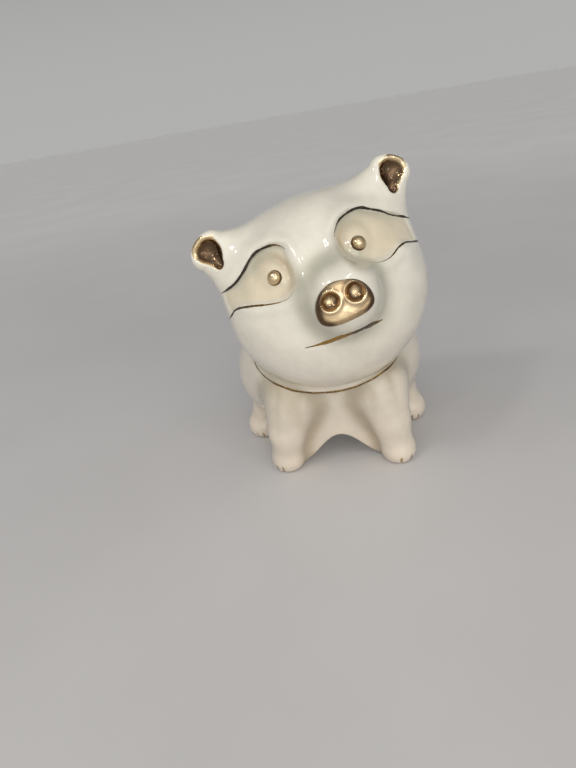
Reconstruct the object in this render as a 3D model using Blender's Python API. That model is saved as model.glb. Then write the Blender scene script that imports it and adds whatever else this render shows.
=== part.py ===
"""Glazed pottery piggy bank: a standing pig with a tilted, turned head, cupped ears and an arched chest.

The potter's pieces are modelled separately: the hollow body casting with its four legs, the hollow head
casting, two ears, the snout plate, two pupils, the curled tail and the rubber stopper in the belly.
Sizes below are in millimetres; meshes are written in metres. The pig faces -Y and stands on Z = 0.
"left" and "right" are the pig's own: its left side is +X.
"""
import math

import bmesh
import bpy
import numpy as np
from mathutils import Matrix, Vector

MM = 0.001

# ---- driving dimensions (mm) ----------------------------------------------------------------------
GAP = 0.3                                   # clearance between luted or fitted pieces
WALL = 4.0                                  # wall of the slip castings
FOOTPRINT_SHIFT = (0.06, -2.67)             # puts the middle of the overall box on the Z axis to 0.1 mm

TORSO_CENTRE, TORSO_RADII = (0.0, 14.0, 46.0), (43.5, 44.0, 34.0)
HAUNCH_CENTRE, HAUNCH_RADII = (28.6, 22.0, 41.0), (20.0, 25.0, 24.0)
# Front legs, left first: centres of shoulder, knee, ankle and foot. The left foot is a little ahead.
FRONT_LEGS = (((22.5, -13.6, 40.5), (27.4, -16.6, 22.0), (29.6, -16.2, 8.0), (30.2, -16.8, 5.5)),
              ((-18.0, -13.6, 40.5), (-23.8, -16.0, 22.0), (-25.4, -13.6, 8.0), (-26.0, -14.0, 5.5)))
FRONT_LEG_RADII, FRONT_FOOT_RADII = (15.4, 9.6, 8.2), (8.7, 9.3, 8.0)
THIGH, THIGH_RADIUS = (32.0, 26.0, 27.0), 14.0
HIND_ANKLE, HIND_ANKLE_RADIUS = (40.0, 25.0, 9.0), 7.8
HIND_FOOT, HIND_FOOT_RADII = (41.5, 23.5, 6.0), (9.0, 9.5, 8.0)
VALLEY_CENTRE, VALLEY_RADII = (2.0, -42.0, 28.0), (28.0, 27.0, 34.0)   # hollow of the chest
APRON_Y, APRON_LEAN, APRON_THICKNESS, APRON_TOP = -12.8, 0.25, 9.0, 50.0
ARCH_X, ARCH_HEIGHT, ARCH_HALF_SPAN = 1.8, 16.2, 22.5
# Nicks between the toes as (foot, degrees outwards from straight ahead); feet 0 and 1 are the front ones.
TOE_NICKS = ((0, 2.0), (0, 42.0), (1, -20.0), (1, -46.0), (2, 2.0), (2, 28.0), (3, -2.0), (3, -28.0))
NICK_RADII = (0.75, 1.5, 3.4)
NECK_CENTRE, NECK_RADII, NECK_TIP = (1.0, -3.0, 61.0), (36.5, 31.0, 8.0), 22.0

HEAD_CENTRE, HEAD_RADII = (4.4, -12.0, 89.5), (45.8, 39.5, 44.2)
HEAD_TURN, HEAD_TILT = 11.0, 13.3           # degrees: towards its left, and its left side up
MUZZLE_ROOT, MUZZLE_ROOT_RADIUS = (2.4, -22.0, 4.0), 19.6
MUZZLE_END, MUZZLE_END_RADIUS = (1.6, -33.5, 7.6), 16.2
EAR_ROOT, EAR_ROOT_RADIUS = (27.5, 3.0, 22.0), 16.5
# Corners of an ear's blunt end as X, Y, Z and radius on the head.
EAR_CORNERS = ((39.8, -1.0, 40.4, 5.0), (43.6, -1.0, 38.0, 6.2), (46.4, -1.0, 35.4, 4.9))
EAR_FLATNESS = 1.2
RIGHT_EAR_SHIFT = (-2.6, 0.0, 0.8)          # from where a mirror copy of the left ear would sit
EAR_SCOOP, EAR_SCOOP_RADIUS = (43.6, -7.6, 38.8), 6.0     # the hollow in an ear's face
SCOOP_CORNERS, SCOOP_CORNER_RADIUS = ((41.2, -6.8, 32.6), (40.4, -6.4, 43.6), (49.4, -5.6, 39.6)), 2.5
EAR_SEAM = 46.5                             # from the head's centre to the flat ear joint
EAR_SPLAY = 45.0                            # degrees between an ear and the head's upright

# Eye patches, left first, as places (across, up) on the head: brow edge, lid edge and pupil.
EYE_PATCHES = (
    (((7.6, 28.9), (9.8, 31.4), (13.0, 33.2), (18.0, 33.7), (23.0, 32.6), (27.5, 30.4), (33.5, 26.2),
      (41.0, 20.0)),
     ((9.2, 21.3), (12.8, 17.2), (17.5, 14.6), (23.0, 13.2), (28.5, 13.2), (33.5, 13.6), (41.0, 10.0)),
     (15.9, 23.8)),
    (((-11.6, 31.2), (-13.4, 33.6), (-17.0, 34.3), (-21.5, 33.5), (-25.5, 31.3), (-30.5, 27.7),
      (-36.0, 24.1), (-42.0, 20.5)),
     ((-12.8, 21.2), (-14.8, 17.9), (-18.0, 15.6), (-22.0, 14.9), (-27.0, 15.1), (-32.5, 15.4),
      (-38.0, 14.9), (-42.5, 11.6)),
     (-20.4, 24.2)))
PATCH_DEPTH, BROW_RIDGE, LID_RIDGE = 1.5, 0.95, 0.55
SOCKET_RADIUS, SOCKET_DEPTH, EYEBALL_RADIUS, EYEBALL_RISE = 6.2, 1.0, 3.9, 1.2
PUPIL_RADIUS, PUPIL_SUNK = 2.6, 0.6

SNOUT_WIDTH, SNOUT_DOME, SNOUT_DROP = 23.0, 10.9, 5.8   # drop and dome: below and above the widest row
SNOUT_CENTRE, SNOUT_PITCH, SNOUT_SEAT = (0.1, -46.4, 7.5), 12.0, 5.5
# Rings of the crowned plate as (share of the outline, height over the plate's edge).
SNOUT_CROWN = ((1.0, 0.0), (0.985, 0.7), (0.93, 1.35), (0.82, 1.9), (0.64, 2.35), (0.42, 2.6), (0.2, 2.7))
NOSTRILS, NOSTRIL_DEPTH = ((-4.9, 4.4, 3.3), (5.3, 4.1, 3.5)), 2.2     # (across, up, radius) on the plate

NECK_SEAM_FRONT, NECK_SEAM_SLOPE = (-30.0, 46.4), 33.0     # (Y, Z) under the chin, and degrees

SLOT_CENTRE_Y, SLOT_LENGTH, SLOT_WIDTH = 40.0, 28.0, 5.0
STOPPER_Y = 16.0
BELLY_LAND_Z, BELLY_LAND_RADIUS = 15.0, 18.0
STOPPER_HOLE_RADIUS = 12.3
FLANGE_RADIUS, FLANGE_THICKNESS, PLUG_HEIGHT = 16.0, 2.0, 7.0

TAIL_ROOT, TAIL_RADIUS, TAIL_TIP_RADIUS = (0.0, 55.0, 50.0), 3.0, 1.6
TAIL_COIL_RADIUS, TAIL_TURNS, TAIL_REACH = 5.5, 1.15, 10.5

# Fillets where the forms run together.
EAR_FILLET, EAR_CORNER_FILLET, SCOOP_FILLET, SCOOP_RIM, MUZZLE_FILLET = 12.0, 4.0, 1.0, 1.3, 4.8
HAUNCH_FILLET, THIGH_FILLET, HIND_FOOT_FILLET = 8.0, 5.0, 4.0
FRONT_LEG_FILLET, KNEE_FILLET, FRONT_FOOT_FILLET = 3.0, 2.5, 2.0
VALLEY_RIM, APRON_FILLET = 2.5, 3.6

SHELL_VOXEL, SHELL_KEEP, DETAIL_FACTOR = 1.5, 0.115, 2.5e-4
CAVITY_VOXEL = 5.5


# ---- plain geometry helpers -----------------------------------------------------------------------
def turned(turn, pitch, tilt):
    """Return a 3 x 3 rotation: tip the nose down by pitch, tilt sideways, then turn about the upright."""
    upright = Matrix.Rotation(math.radians(turn), 3, "Z")
    sideways = Matrix.Rotation(math.radians(-tilt), 3, "Y")
    nose = Matrix.Rotation(math.radians(pitch), 3, "X")
    return np.array(upright @ sideways @ nose)


HEAD_FRAME = turned(HEAD_TURN, 0.0, HEAD_TILT)
NECK_FRAME = turned(0.0, NECK_TIP, 0.0)


def on_head(point):
    """Turn a place measured on the upright head into a place on the pig."""
    return np.array(HEAD_CENTRE) + HEAD_FRAME @ np.array(point)


def to_head(points):
    """Turn places on the pig into places measured on the upright head."""
    return (points - np.array(HEAD_CENTRE)) @ HEAD_FRAME


def mirrored(point, side):
    """Put a left-hand place on the given side, 1 for left and -1 for right."""
    return np.array(point) * (side, 1.0, 1.0)


def ease(value, low, high):
    """Rise smoothly from 0 at low to 1 at high."""
    t = np.clip((value - low) / (high - low), 0.0, 1.0)
    return t * t * (3.0 - 2.0 * t)


def smooth_loop(stations, steps):
    """Return points on the closed smooth curve through the stations."""
    p = np.array(stations)
    t = np.linspace(0.0, 1.0, steps, endpoint=False)[:, None]
    spans = []
    for a, b, c, d in zip(np.roll(p, 1, 0), p, np.roll(p, -1, 0), np.roll(p, -2, 0)):
        spans.append(0.5 * (2 * b + (c - a) * t + (2 * a - 5 * b + 4 * c - d) * t**2
                            + (3 * b - a - 3 * c + d) * t**3))
    return np.concatenate(spans)


# ---- the modelled form as distances ---------------------------------------------------------------
def blend(first, second, radius):
    """Join two forms with a fillet of about the given radius."""
    share = np.clip(0.5 + 0.5 * (second - first) / radius, 0.0, 1.0)
    return second + (first - second) * share - radius * share * (1.0 - share)


def carve(form, tool, radius):
    """Take a tool's shape out of a form, rounding the edge."""
    return -blend(-form, tool, radius)


def ellipsoid_distance(points, centre, radii, frame=None):
    """Distance to an ellipsoid's surface, negative inside."""
    local = points - np.array(centre)
    if frame is not None:
        local = local @ frame
    near = np.linalg.norm(local / radii, axis=1)
    steep = np.linalg.norm(local / np.square(radii), axis=1) + 1e-9
    return near * (near - 1.0) / steep


def limb_distance(points, start, end, start_radius, end_radius):
    """Distance to a round limb that tapers from start to end."""
    start, along = np.array(start), np.array(end) - np.array(start)
    t = np.clip((points - start) @ along / (along @ along), 0.0, 1.0)
    return np.linalg.norm(points - start - t[:, None] * along, axis=1) - start_radius - (
        end_radius - start_radius) * t


def cone_distance(points, start, end, start_radius, end_radius):
    """Distance to two balls and the cone that touches both."""
    length = np.linalg.norm(np.array(end) - start)
    way = (np.array(end) - start) / length
    along = (points - start) @ way
    aside = np.linalg.norm(points - start - along[:, None] * way, axis=1)
    lean = (start_radius - end_radius) / length
    upright = math.sqrt(1.0 - lean * lean)
    foot = along - lean / upright * aside
    side = upright * aside + lean * along - start_radius
    first = np.hypot(along, aside) - start_radius
    last = np.hypot(along - length, aside) - end_radius
    return np.where(foot < 0.0, first, np.where(foot > length, last, side))


def outline_distance(places, outline):
    """Distance from flat places to a closed outline, negative inside it."""
    nearest = np.full(len(places), np.inf)
    inside = np.zeros(len(places), bool)
    for a, b in zip(outline, np.roll(outline, -1, 0)):
        edge, offset = b - a, places - a
        t = np.clip(offset @ edge / (edge @ edge), 0.0, 1.0)
        nearest = np.minimum(nearest, np.linalg.norm(offset - t[:, None] * edge, axis=1))
        spans = (places[:, 1] >= min(a[1], b[1])) & (places[:, 1] < max(a[1], b[1]))
        crossed = (edge[0] * offset[:, 1] - edge[1] * offset[:, 0]) * np.sign(edge[1]) > 0.0
        inside ^= spans & crossed
    return np.where(inside, -nearest, nearest)


PATCH_OUTLINES = tuple(smooth_loop(brow + lid[::-1], 4) for brow, lid, _ in EYE_PATCHES)


def bell(value, centre, width):
    """A smooth bump of height 1."""
    return np.exp(-np.square((value - centre) / width))


def patch_relief(flat, side, outline, eye):
    """Height of one modelled eye over the plain head at flat places (across, up)."""
    edge = outline_distance(flat, outline)
    across = side * flat[:, 0]
    reach = np.hypot(flat[:, 0] - eye[0], flat[:, 1] - eye[1])
    inward = (0.8 * (flat[:, 1] - eye[1]) - side * (flat[:, 0] - eye[0])) / (1.28 * reach + 1e-6)
    above, inner = ease(flat[:, 1], 20.0, 26.0), 1.0 - ease(across, 14.0, 32.0)
    fade, rim = 1.0 - ease(across, 33.0, 43.0), ease(edge, 0.0, 1.2)
    return (-PATCH_DEPTH * (1.0 - ease(edge, -1.5, 0.5)) * (0.35 + 0.65 * fade)
            + BROW_RIDGE * bell(edge, 2.6, 1.9) * rim * above * (0.3 + 0.7 * inner)
            + LID_RIDGE * bell(edge, 2.4, 2.2) * rim * (1.0 - above) * fade
            - SOCKET_DEPTH * bell(reach, SOCKET_RADIUS, 2.0) * (0.75 + 0.45 * inward)
            + EYEBALL_RISE * bell(reach, 0.0, EYEBALL_RADIUS))


def face_relief(local):
    """Height of the modelled face over the plain head: sunk eye patches, brow and lid ridges, eyeballs."""
    height = np.zeros(len(local))
    for side, outline, (_, _, eye) in zip((1, -1), PATCH_OUTLINES, EYE_PATCHES):
        low = (side * local[:, 0] > -6.0) & (local[:, 2] > -4.0)
        near = low & (local[:, 1] < 6.0) & (local[:, 2] < 46.0)
        height[near] += patch_relief(local[near][:, (0, 2)], side, outline, eye)
    return height


def ear_places(local, side):
    """Places on the head measured as on the left ear; the right ear sits closer in."""
    own = local * (side, 1.0, 1.0)
    return own - RIGHT_EAR_SHIFT if side < 0 else own


def on_ear(point, side):
    """Turn a place measured on the left ear into a place on the pig."""
    own = np.array(point, float) + (RIGHT_EAR_SHIFT if side < 0 else 0.0)
    return on_head(mirrored(own, side))


def ear_distance(local, side):
    """One ear without its cup: tapers from one root to the corners of its blunt end."""
    squash = np.array((1.0, EAR_FLATNESS, 1.0))
    own = ear_places(local, side) * squash
    form = np.full(len(local), 1e3)
    for *corner, radius in EAR_CORNERS:
        taper = limb_distance(own, EAR_ROOT * squash, corner * squash, EAR_ROOT_RADIUS, radius)
        form = blend(form, taper, EAR_CORNER_FILLET)
    return form


def scoop_distance(own):
    """The three-cornered hollow in an ear's face, at places measured on the left ear."""
    form = np.full(len(own), 1e3)
    for corner in SCOOP_CORNERS:
        arm = limb_distance(own, EAR_SCOOP, corner, EAR_SCOOP_RADIUS, SCOOP_CORNER_RADIUS)
        form = blend(form, arm, SCOOP_FILLET)
    return form


def head_distance(points):
    """The whole head: skull, ears, muzzle and the modelled face."""
    local = to_head(points)
    form = ellipsoid_distance(points, HEAD_CENTRE, HEAD_RADII, HEAD_FRAME)
    for side in (1, -1):
        form = blend(form, ear_distance(local, side), EAR_FILLET)
    muzzle = limb_distance(local, MUZZLE_ROOT, MUZZLE_END, MUZZLE_ROOT_RADIUS, MUZZLE_END_RADIUS)
    form = blend(form, muzzle, MUZZLE_FILLET)
    form = form - face_relief(local)
    for side in (1, -1):
        form = carve(form, scoop_distance(ear_places(local, side)), SCOOP_RIM)
    return form


def front_leg_distance(points, shoulder, knee, ankle, foot):
    """A front leg: a bulging shoulder, a straight shin and a foot."""
    upper = cone_distance(points, shoulder, knee, FRONT_LEG_RADII[0], FRONT_LEG_RADII[1])
    lower = cone_distance(points, knee, ankle, FRONT_LEG_RADII[1], FRONT_LEG_RADII[2])
    leg = blend(upper, lower, KNEE_FILLET)
    return blend(leg, ellipsoid_distance(points, foot, FRONT_FOOT_RADII), FRONT_FOOT_FILLET)


def legs_distance(points, form):
    """Blend haunches and legs into the torso."""
    for side in (1, -1):
        own = points * (side, 1.0, 1.0)
        thigh = limb_distance(own, THIGH, HIND_ANKLE, THIGH_RADIUS, HIND_ANKLE_RADIUS)
        form = blend(form, ellipsoid_distance(own, HAUNCH_CENTRE, HAUNCH_RADII), HAUNCH_FILLET)
        form = blend(form, thigh, THIGH_FILLET)
        form = blend(form, ellipsoid_distance(own, HIND_FOOT, HIND_FOOT_RADII), HIND_FOOT_FILLET)
    for leg in FRONT_LEGS:
        form = blend(form, front_leg_distance(points, *leg), FRONT_LEG_FILLET)
    return form


def apron_distance(points):
    """The web between the front legs, its lower edge a bell-shaped arch."""
    x, y, z = points.T
    arch = arch_height(x)
    slab = np.abs(y - APRON_Y + APRON_LEAN * (z - ARCH_HEIGHT)) - 0.5 * APRON_THICKNESS
    beside = np.abs(x - ARCH_X) - ARCH_HALF_SPAN - 1.5
    for limit, radius in ((arch - z, 2.2), (z - APRON_TOP, 6.0), (beside, 2.0)):
        slab = carve(slab, -limit, radius)
    return slab


def pig_distance(points):
    """The whole pig as one form, before it is hollowed and cut into pieces."""
    torso = ellipsoid_distance(points, TORSO_CENTRE, TORSO_RADII)
    torso = carve(torso, ellipsoid_distance(points, VALLEY_CENTRE, VALLEY_RADII), VALLEY_RIM)
    form = blend(legs_distance(points, torso), apron_distance(points), APRON_FILLET)
    form = blend(form, ellipsoid_distance(points, NECK_CENTRE, NECK_RADII, NECK_FRAME), 1.2)
    return blend(form, head_distance(points), 2.0)


def hollow_distance(points):
    """The space inside: torso and head less the wall, run together at the neck."""
    torso = ellipsoid_distance(points, np.array(TORSO_CENTRE) + (0.0, 0.0, 1.5),
                               np.array(TORSO_RADII) - (WALL, WALL, WALL + 1.5))
    head = ellipsoid_distance(points, HEAD_CENTRE, np.array(HEAD_RADII) - WALL, HEAD_FRAME)
    return carve(blend(torso, head, 6.0), -(pig_distance(points) + 0.85 * WALL), 1.5)


# ---- meshes ---------------------------------------------------------------------------------------
def clear_scene():
    """Remove whatever the file opened with."""
    for old in list(bpy.data.objects):
        bpy.data.objects.remove(old, do_unlink=True)


def add_object(name, mesh):
    """Link a new object for a mesh."""
    item = bpy.data.objects.new(name, mesh)
    bpy.context.scene.collection.objects.link(item)
    return item


def mesh_from(bm, name):
    """Turn a bmesh measured in millimetres into a mesh in metres."""
    bmesh.ops.recalc_face_normals(bm, faces=bm.faces)
    bmesh.ops.scale(bm, vec=(MM, MM, MM), verts=bm.verts)
    mesh = bpy.data.meshes.new(name)
    bm.to_mesh(mesh)
    bm.free()
    return mesh


def add_ball(bm, centre, radii, frame=None, subdivisions=4):
    """Add an ellipsoid to a bmesh."""
    rotation = Matrix.Identity(4) if frame is None else Matrix(frame.tolist()).to_4x4()
    place = Matrix.Translation(Vector(centre)) @ rotation @ Matrix.Diagonal((*radii, 1.0))
    bmesh.ops.create_icosphere(bm, subdivisions=subdivisions, radius=1.0, matrix=place)


def add_limb(bm, start, end, start_radius, end_radius, steps=6):
    """Add a tapering limb to a bmesh as a string of balls."""
    for t in np.linspace(0.0, 1.0, steps):
        radius = start_radius + (end_radius - start_radius) * t
        add_ball(bm, np.array(start) * (1.0 - t) + np.array(end) * t, (radius,) * 3, subdivisions=3)


def arch_height(x):
    """Height of the apron's bell-shaped arch."""
    share = np.clip((x - ARCH_X) / ARCH_HALF_SPAN, -1.0, 1.0)
    return 0.5 * ARCH_HEIGHT * (1.0 + np.cos(np.pi * share))


def add_apron(bm):
    """Add the apron to a bmesh: its arched outline given thickness along Y."""
    across = ARCH_X + np.linspace(-ARCH_HALF_SPAN, ARCH_HALF_SPAN, 25)
    outline = [(x, arch_height(x)) for x in across] + [(x, APRON_TOP - 4.0) for x in across[::-1]]
    face = bm.faces.new([bm.verts.new((x, APRON_Y - 0.5 * APRON_THICKNESS, z)) for x, z in outline])
    back = bmesh.ops.extrude_face_region(bm, geom=[face])["geom"]
    moved = [v for v in back if isinstance(v, bmesh.types.BMVert)]
    bmesh.ops.translate(bm, vec=(0.0, APRON_THICKNESS, 0.0), verts=moved)


def applied(item):
    """Apply an object's modifiers and return it."""
    graph = bpy.context.evaluated_depsgraph_get()
    graph.update()
    baked = bpy.data.meshes.new_from_object(item.evaluated_get(graph))
    old = item.data
    item.modifiers.clear()
    item.data = baked
    bpy.data.meshes.remove(old)
    return item


def fused(bm, name, voxel):
    """Fuse overlapping balls into one skin of even faces."""
    item = add_object(name, mesh_from(bm, name))
    remesh = item.modifiers.new("fuse", "REMESH")
    remesh.mode = "VOXEL"
    remesh.voxel_size = voxel * MM
    return applied(item)


def settle(item, distance, rounds, relax):
    """Move a skin's vertices onto a form, evening them out along it."""
    mesh = item.data
    points = np.empty(len(mesh.vertices) * 3)
    mesh.vertices.foreach_get("co", points)
    points = points.reshape(-1, 3) / MM
    edges = np.empty(len(mesh.edges) * 2, int)
    mesh.edges.foreach_get("vertices", edges)
    ends = np.concatenate([edges.reshape(-1, 2), edges.reshape(-1, 2)[:, ::-1]])
    valence = np.bincount(ends[:, 0], minlength=len(points))[:, None]
    probe = 0.05 * np.eye(3)
    for _ in range(rounds):
        if relax > 0.0:
            total = np.stack([np.bincount(ends[:, 0], points[ends[:, 1], k], len(points))
                              for k in range(3)], axis=1)
            points = points + relax * (total / valence - points)
        slope = np.stack([(distance(points + d) - distance(points - d)) / 0.1 for d in probe], axis=1)
        step = np.clip(distance(points) / (np.square(slope).sum(axis=1) + 1e-6), -2.0, 2.0)
        points = points - step[:, None] * slope
    mesh.vertices.foreach_set("co", (points * MM).ravel())
    mesh.update()
    return item


def thinned(item, keep, modelled):
    """Collapse a skin's flattest faces, keeping the given share of them and more where it is modelled."""
    for name, weight, chosen in (("plain", 1.0, ~modelled), ("plain", 0.5, modelled)):
        group = item.vertex_groups.get(name) or item.vertex_groups.new(name=name)
        group.add(np.flatnonzero(chosen).tolist(), weight, "REPLACE")
    decimate = item.modifiers.new("thin", "DECIMATE")
    decimate.ratio = keep
    decimate.vertex_group = "plain"
    decimate.vertex_group_factor = DETAIL_FACTOR
    return applied(item)


def is_modelled(item):
    """Which of a skin's vertices lie on the modelled face."""
    points = np.array([v.co for v in item.data.vertices]) / MM
    return np.abs(face_relief(to_head(points))) > 0.06


def boolean(item, cutter, operation="DIFFERENCE"):
    """Cut an object with another, which becomes a hidden guide."""
    cutter.hide_render = True
    cutter.display_type = "WIRE"
    cut = item.modifiers.new("cut_" + cutter.name, "BOOLEAN")
    cut.operation = operation
    cut.solver = "EXACT"
    cut.object = cutter
    return item


def block(name, origin, up, size=400.0):
    """A large cutter block whose bottom face passes through origin, square to up (both on the pig)."""
    bm = bmesh.new()
    bmesh.ops.create_cube(bm, size=size)
    bmesh.ops.translate(bm, vec=(0.0, 0.0, 0.5 * size), verts=bm.verts)
    lean = Vector(up).to_track_quat("Z", "Y").to_matrix().to_4x4()
    bmesh.ops.transform(bm, matrix=Matrix.Translation(Vector(origin)) @ lean, verts=bm.verts)
    return add_object(name, mesh_from(bm, name))


def prism(name, outline, bottom, top):
    """An upright prism over a flat outline."""
    bm = bmesh.new()
    face = bm.faces.new([bm.verts.new((x, y, bottom)) for x, y in outline])
    walls = bmesh.ops.extrude_face_region(bm, geom=[face])["geom"]
    lifted = [v for v in walls if isinstance(v, bmesh.types.BMVert)]
    bmesh.ops.translate(bm, vec=(0.0, 0.0, top - bottom), verts=lifted)
    return add_object(name, mesh_from(bm, name))


def circle(radius, steps):
    """Points round a circle."""
    return [(radius * math.cos(a), radius * math.sin(a)) for a in np.arange(steps) * math.tau / steps]


def finish(name, colour, roughness, metallic=0.0):
    """A plain material."""
    material = bpy.data.materials.new(name)
    material.use_nodes = True
    shader = material.node_tree.nodes["Principled BSDF"]
    shader.inputs["Base Color"].default_value = (*colour, 1.0)
    shader.inputs["Roughness"].default_value = roughness
    shader.inputs["Metallic"].default_value = metallic
    material.diffuse_color = (*colour, 1.0)
    return material


def dress(item, material, crease=40.0):
    """Give an object its material and smooth shading."""
    item.data.materials.clear()
    item.data.materials.append(material)
    item.data.shade_smooth()
    item.data.set_sharp_from_angle(angle=math.radians(crease))
    return item


# ---- the castings ---------------------------------------------------------------------------------
def pig_blank():
    """The whole outer form as one closed skin."""
    bm = bmesh.new()
    add_ball(bm, TORSO_CENTRE, TORSO_RADII)
    add_ball(bm, HEAD_CENTRE, HEAD_RADII, HEAD_FRAME)
    add_ball(bm, NECK_CENTRE, NECK_RADII, NECK_FRAME)
    add_limb(bm, on_head(MUZZLE_ROOT), on_head(MUZZLE_END), MUZZLE_ROOT_RADIUS, MUZZLE_END_RADIUS)
    for side in (1, -1):
        add_ball(bm, mirrored(HAUNCH_CENTRE, side), HAUNCH_RADII)
        add_limb(bm, mirrored(THIGH, side), mirrored(HIND_ANKLE, side), THIGH_RADIUS, HIND_ANKLE_RADIUS)
        add_ball(bm, mirrored(HIND_FOOT, side), HIND_FOOT_RADII)
        for *corner, radius in EAR_CORNERS:
            add_limb(bm, on_ear(EAR_ROOT, side), on_ear(corner, side), EAR_ROOT_RADIUS, radius)
    for shoulder, knee, ankle, foot in FRONT_LEGS:
        add_limb(bm, shoulder, knee, FRONT_LEG_RADII[0], FRONT_LEG_RADII[1])
        add_limb(bm, knee, ankle, FRONT_LEG_RADII[1], FRONT_LEG_RADII[2])
        add_ball(bm, foot, FRONT_FOOT_RADII)
    add_apron(bm)
    blank = fused(bm, "pig_form", SHELL_VOXEL)
    settle(blank, pig_distance, 8, 0.35)
    thinned(blank, SHELL_KEEP, is_modelled(blank))
    return settle(blank, pig_distance, 3, 0.15)


def hollow_blank():
    """The space inside both castings as one closed skin."""
    bm = bmesh.new()
    add_ball(bm, np.array(TORSO_CENTRE) + (0, 0, 1.5), np.array(TORSO_RADII) - (WALL, WALL, WALL + 1.5))
    add_ball(bm, HEAD_CENTRE, np.array(HEAD_RADII) - WALL, HEAD_FRAME)
    return settle(fused(bm, "hollow", CAVITY_VOXEL), hollow_distance, 6, 0.35)


def neck_seam(offset):
    """A point on the neck joint moved along its normal, and the normal."""
    slope = math.radians(NECK_SEAM_SLOPE)
    normal = np.array((0.0, -math.sin(slope), math.cos(slope)))
    return np.array((0.0, *NECK_SEAM_FRONT)) + offset * normal, normal


def ear_seam(side, offset):
    """A point on an ear's flat joint moved along its normal, and the normal."""
    splay = math.radians(EAR_SPLAY)
    local = np.array((side * math.sin(splay), 0.0, math.cos(splay)))
    return on_head(local * (EAR_SEAM + offset)), HEAD_FRAME @ local


def coin_slot():
    """Cutter for the slot along the spine, with half-round ends."""
    bm_outline = []
    run = 0.5 * (SLOT_LENGTH - SLOT_WIDTH)
    for end in (1, -1):
        for angle in np.linspace(0.0, math.pi, 7):
            x = end * 0.5 * SLOT_WIDTH * math.cos(angle)
            y = end * (run + 0.5 * SLOT_WIDTH * math.sin(angle))
            bm_outline.append((x, SLOT_CENTRE_Y + y))
    return prism("coin_slot", bm_outline, TORSO_CENTRE[2], 100.0)


def stopper_cuts():
    """Cutters for the flat land under the belly and for the round hole through it."""
    land = prism("belly_land", [(x, y + STOPPER_Y) for x, y in circle(BELLY_LAND_RADIUS, 48)],
                 -5.0, BELLY_LAND_Z)
    hole = prism("stopper_hole", [(x, y + STOPPER_Y) for x, y in circle(STOPPER_HOLE_RADIUS, 40)],
                 5.0, TORSO_CENTRE[2] - 10.0)
    return land, hole


def tail_socket():
    """Cutter for the blind round socket that the tail is luted into."""
    socket = prism("tail_socket", circle(TAIL_RADIUS + GAP, 20), -GAP, 20.0)
    socket.matrix_world = (Matrix.Translation(Vector(TAIL_ROOT) * MM)
                           @ Matrix.Rotation(math.radians(-90.0), 4, "X"))
    return socket


def toe_nicks():
    """Cutters for the nicks between the toes."""
    hind = [(side * HIND_FOOT[0], HIND_FOOT[1]) for side in (1, -1)]
    feet = [(leg[3][:2], FRONT_FOOT_RADII) for leg in FRONT_LEGS] + [(at, HIND_FOOT_RADII) for at in hind]
    cutters = []
    for number, (foot, degrees) in enumerate(TOE_NICKS):
        (x, y), radii = feet[foot]
        turn = math.radians(degrees)
        bm = bmesh.new()
        centre = (x + radii[0] * math.sin(turn), y - radii[1] * math.cos(turn), 2.6)
        add_ball(bm, centre, NICK_RADII, turned(degrees, 0.0, 0.0), subdivisions=2)
        cutters.append(add_object("toe_nick_%d" % number, mesh_from(bm, "toe_nick")))
    return cutters


def body_casting(blank, hollow, ground):
    """Torso, haunches, four legs and apron, hollow and open at the neck."""
    body = add_object("body_casting", blank.data.copy())
    origin, normal = neck_seam(-0.5 * GAP)
    boolean(body, block("above_neck", origin, normal))
    boolean(body, ground)
    boolean(body, hollow)
    for cutter in (*stopper_cuts(), coin_slot(), tail_socket(), *toe_nicks()):
        boolean(body, cutter)
    return applied(body)


def head_casting(blank, hollow, snout_pocket, pupils):
    """Skull and muzzle, hollow and open at the neck."""
    head = add_object("head_casting", blank.data.copy())
    origin, normal = neck_seam(0.5 * GAP)
    boolean(head, block("below_neck", origin, -normal))
    for side in (1, -1):
        origin, normal = ear_seam(side, -0.5 * GAP)
        boolean(head, block("beyond_ear_%d" % side, origin, normal))
    boolean(head, hollow)
    boolean(head, snout_pocket)
    for cutter in pupils:
        boolean(head, cutter)
    return applied(head)


def ear(name, blank, side):
    """One ear, flat at its joint, with its cup."""
    item = add_object(name, blank.data.copy())
    origin, normal = ear_seam(side, 0.5 * GAP)
    boolean(item, block("ear_block_%d" % side, origin, normal), "INTERSECT")
    return applied(item)


# ---- the small pieces -----------------------------------------------------------------------------
def snout_outline(grow, steps=40):
    """Outline of the snout plate: a round dome over a flat, square-cornered bottom edge."""
    points = []
    for angle in np.arange(steps) * math.tau / steps:
        c, s = math.cos(angle), math.sin(angle)
        height, squareness = (SNOUT_DOME, 1.0) if s > 0.0 else (SNOUT_DROP, 0.8)
        x = math.copysign(abs(c) ** squareness, c)
        y = math.copysign(abs(s) ** squareness, s)
        points.append(((0.5 * SNOUT_WIDTH + grow) * x, (height + grow) * y))
    return points


def snout_place():
    """World matrix of the snout plate, its face towards local +Z."""
    facing = turned(0.0, -SNOUT_PITCH, 0.0) @ np.array(Matrix.Rotation(math.radians(90.0), 3, "X"))
    rotation = Matrix((HEAD_FRAME @ facing).tolist()).to_4x4()
    return Matrix.Translation(Vector(on_head(SNOUT_CENTRE) * MM)) @ rotation


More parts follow.
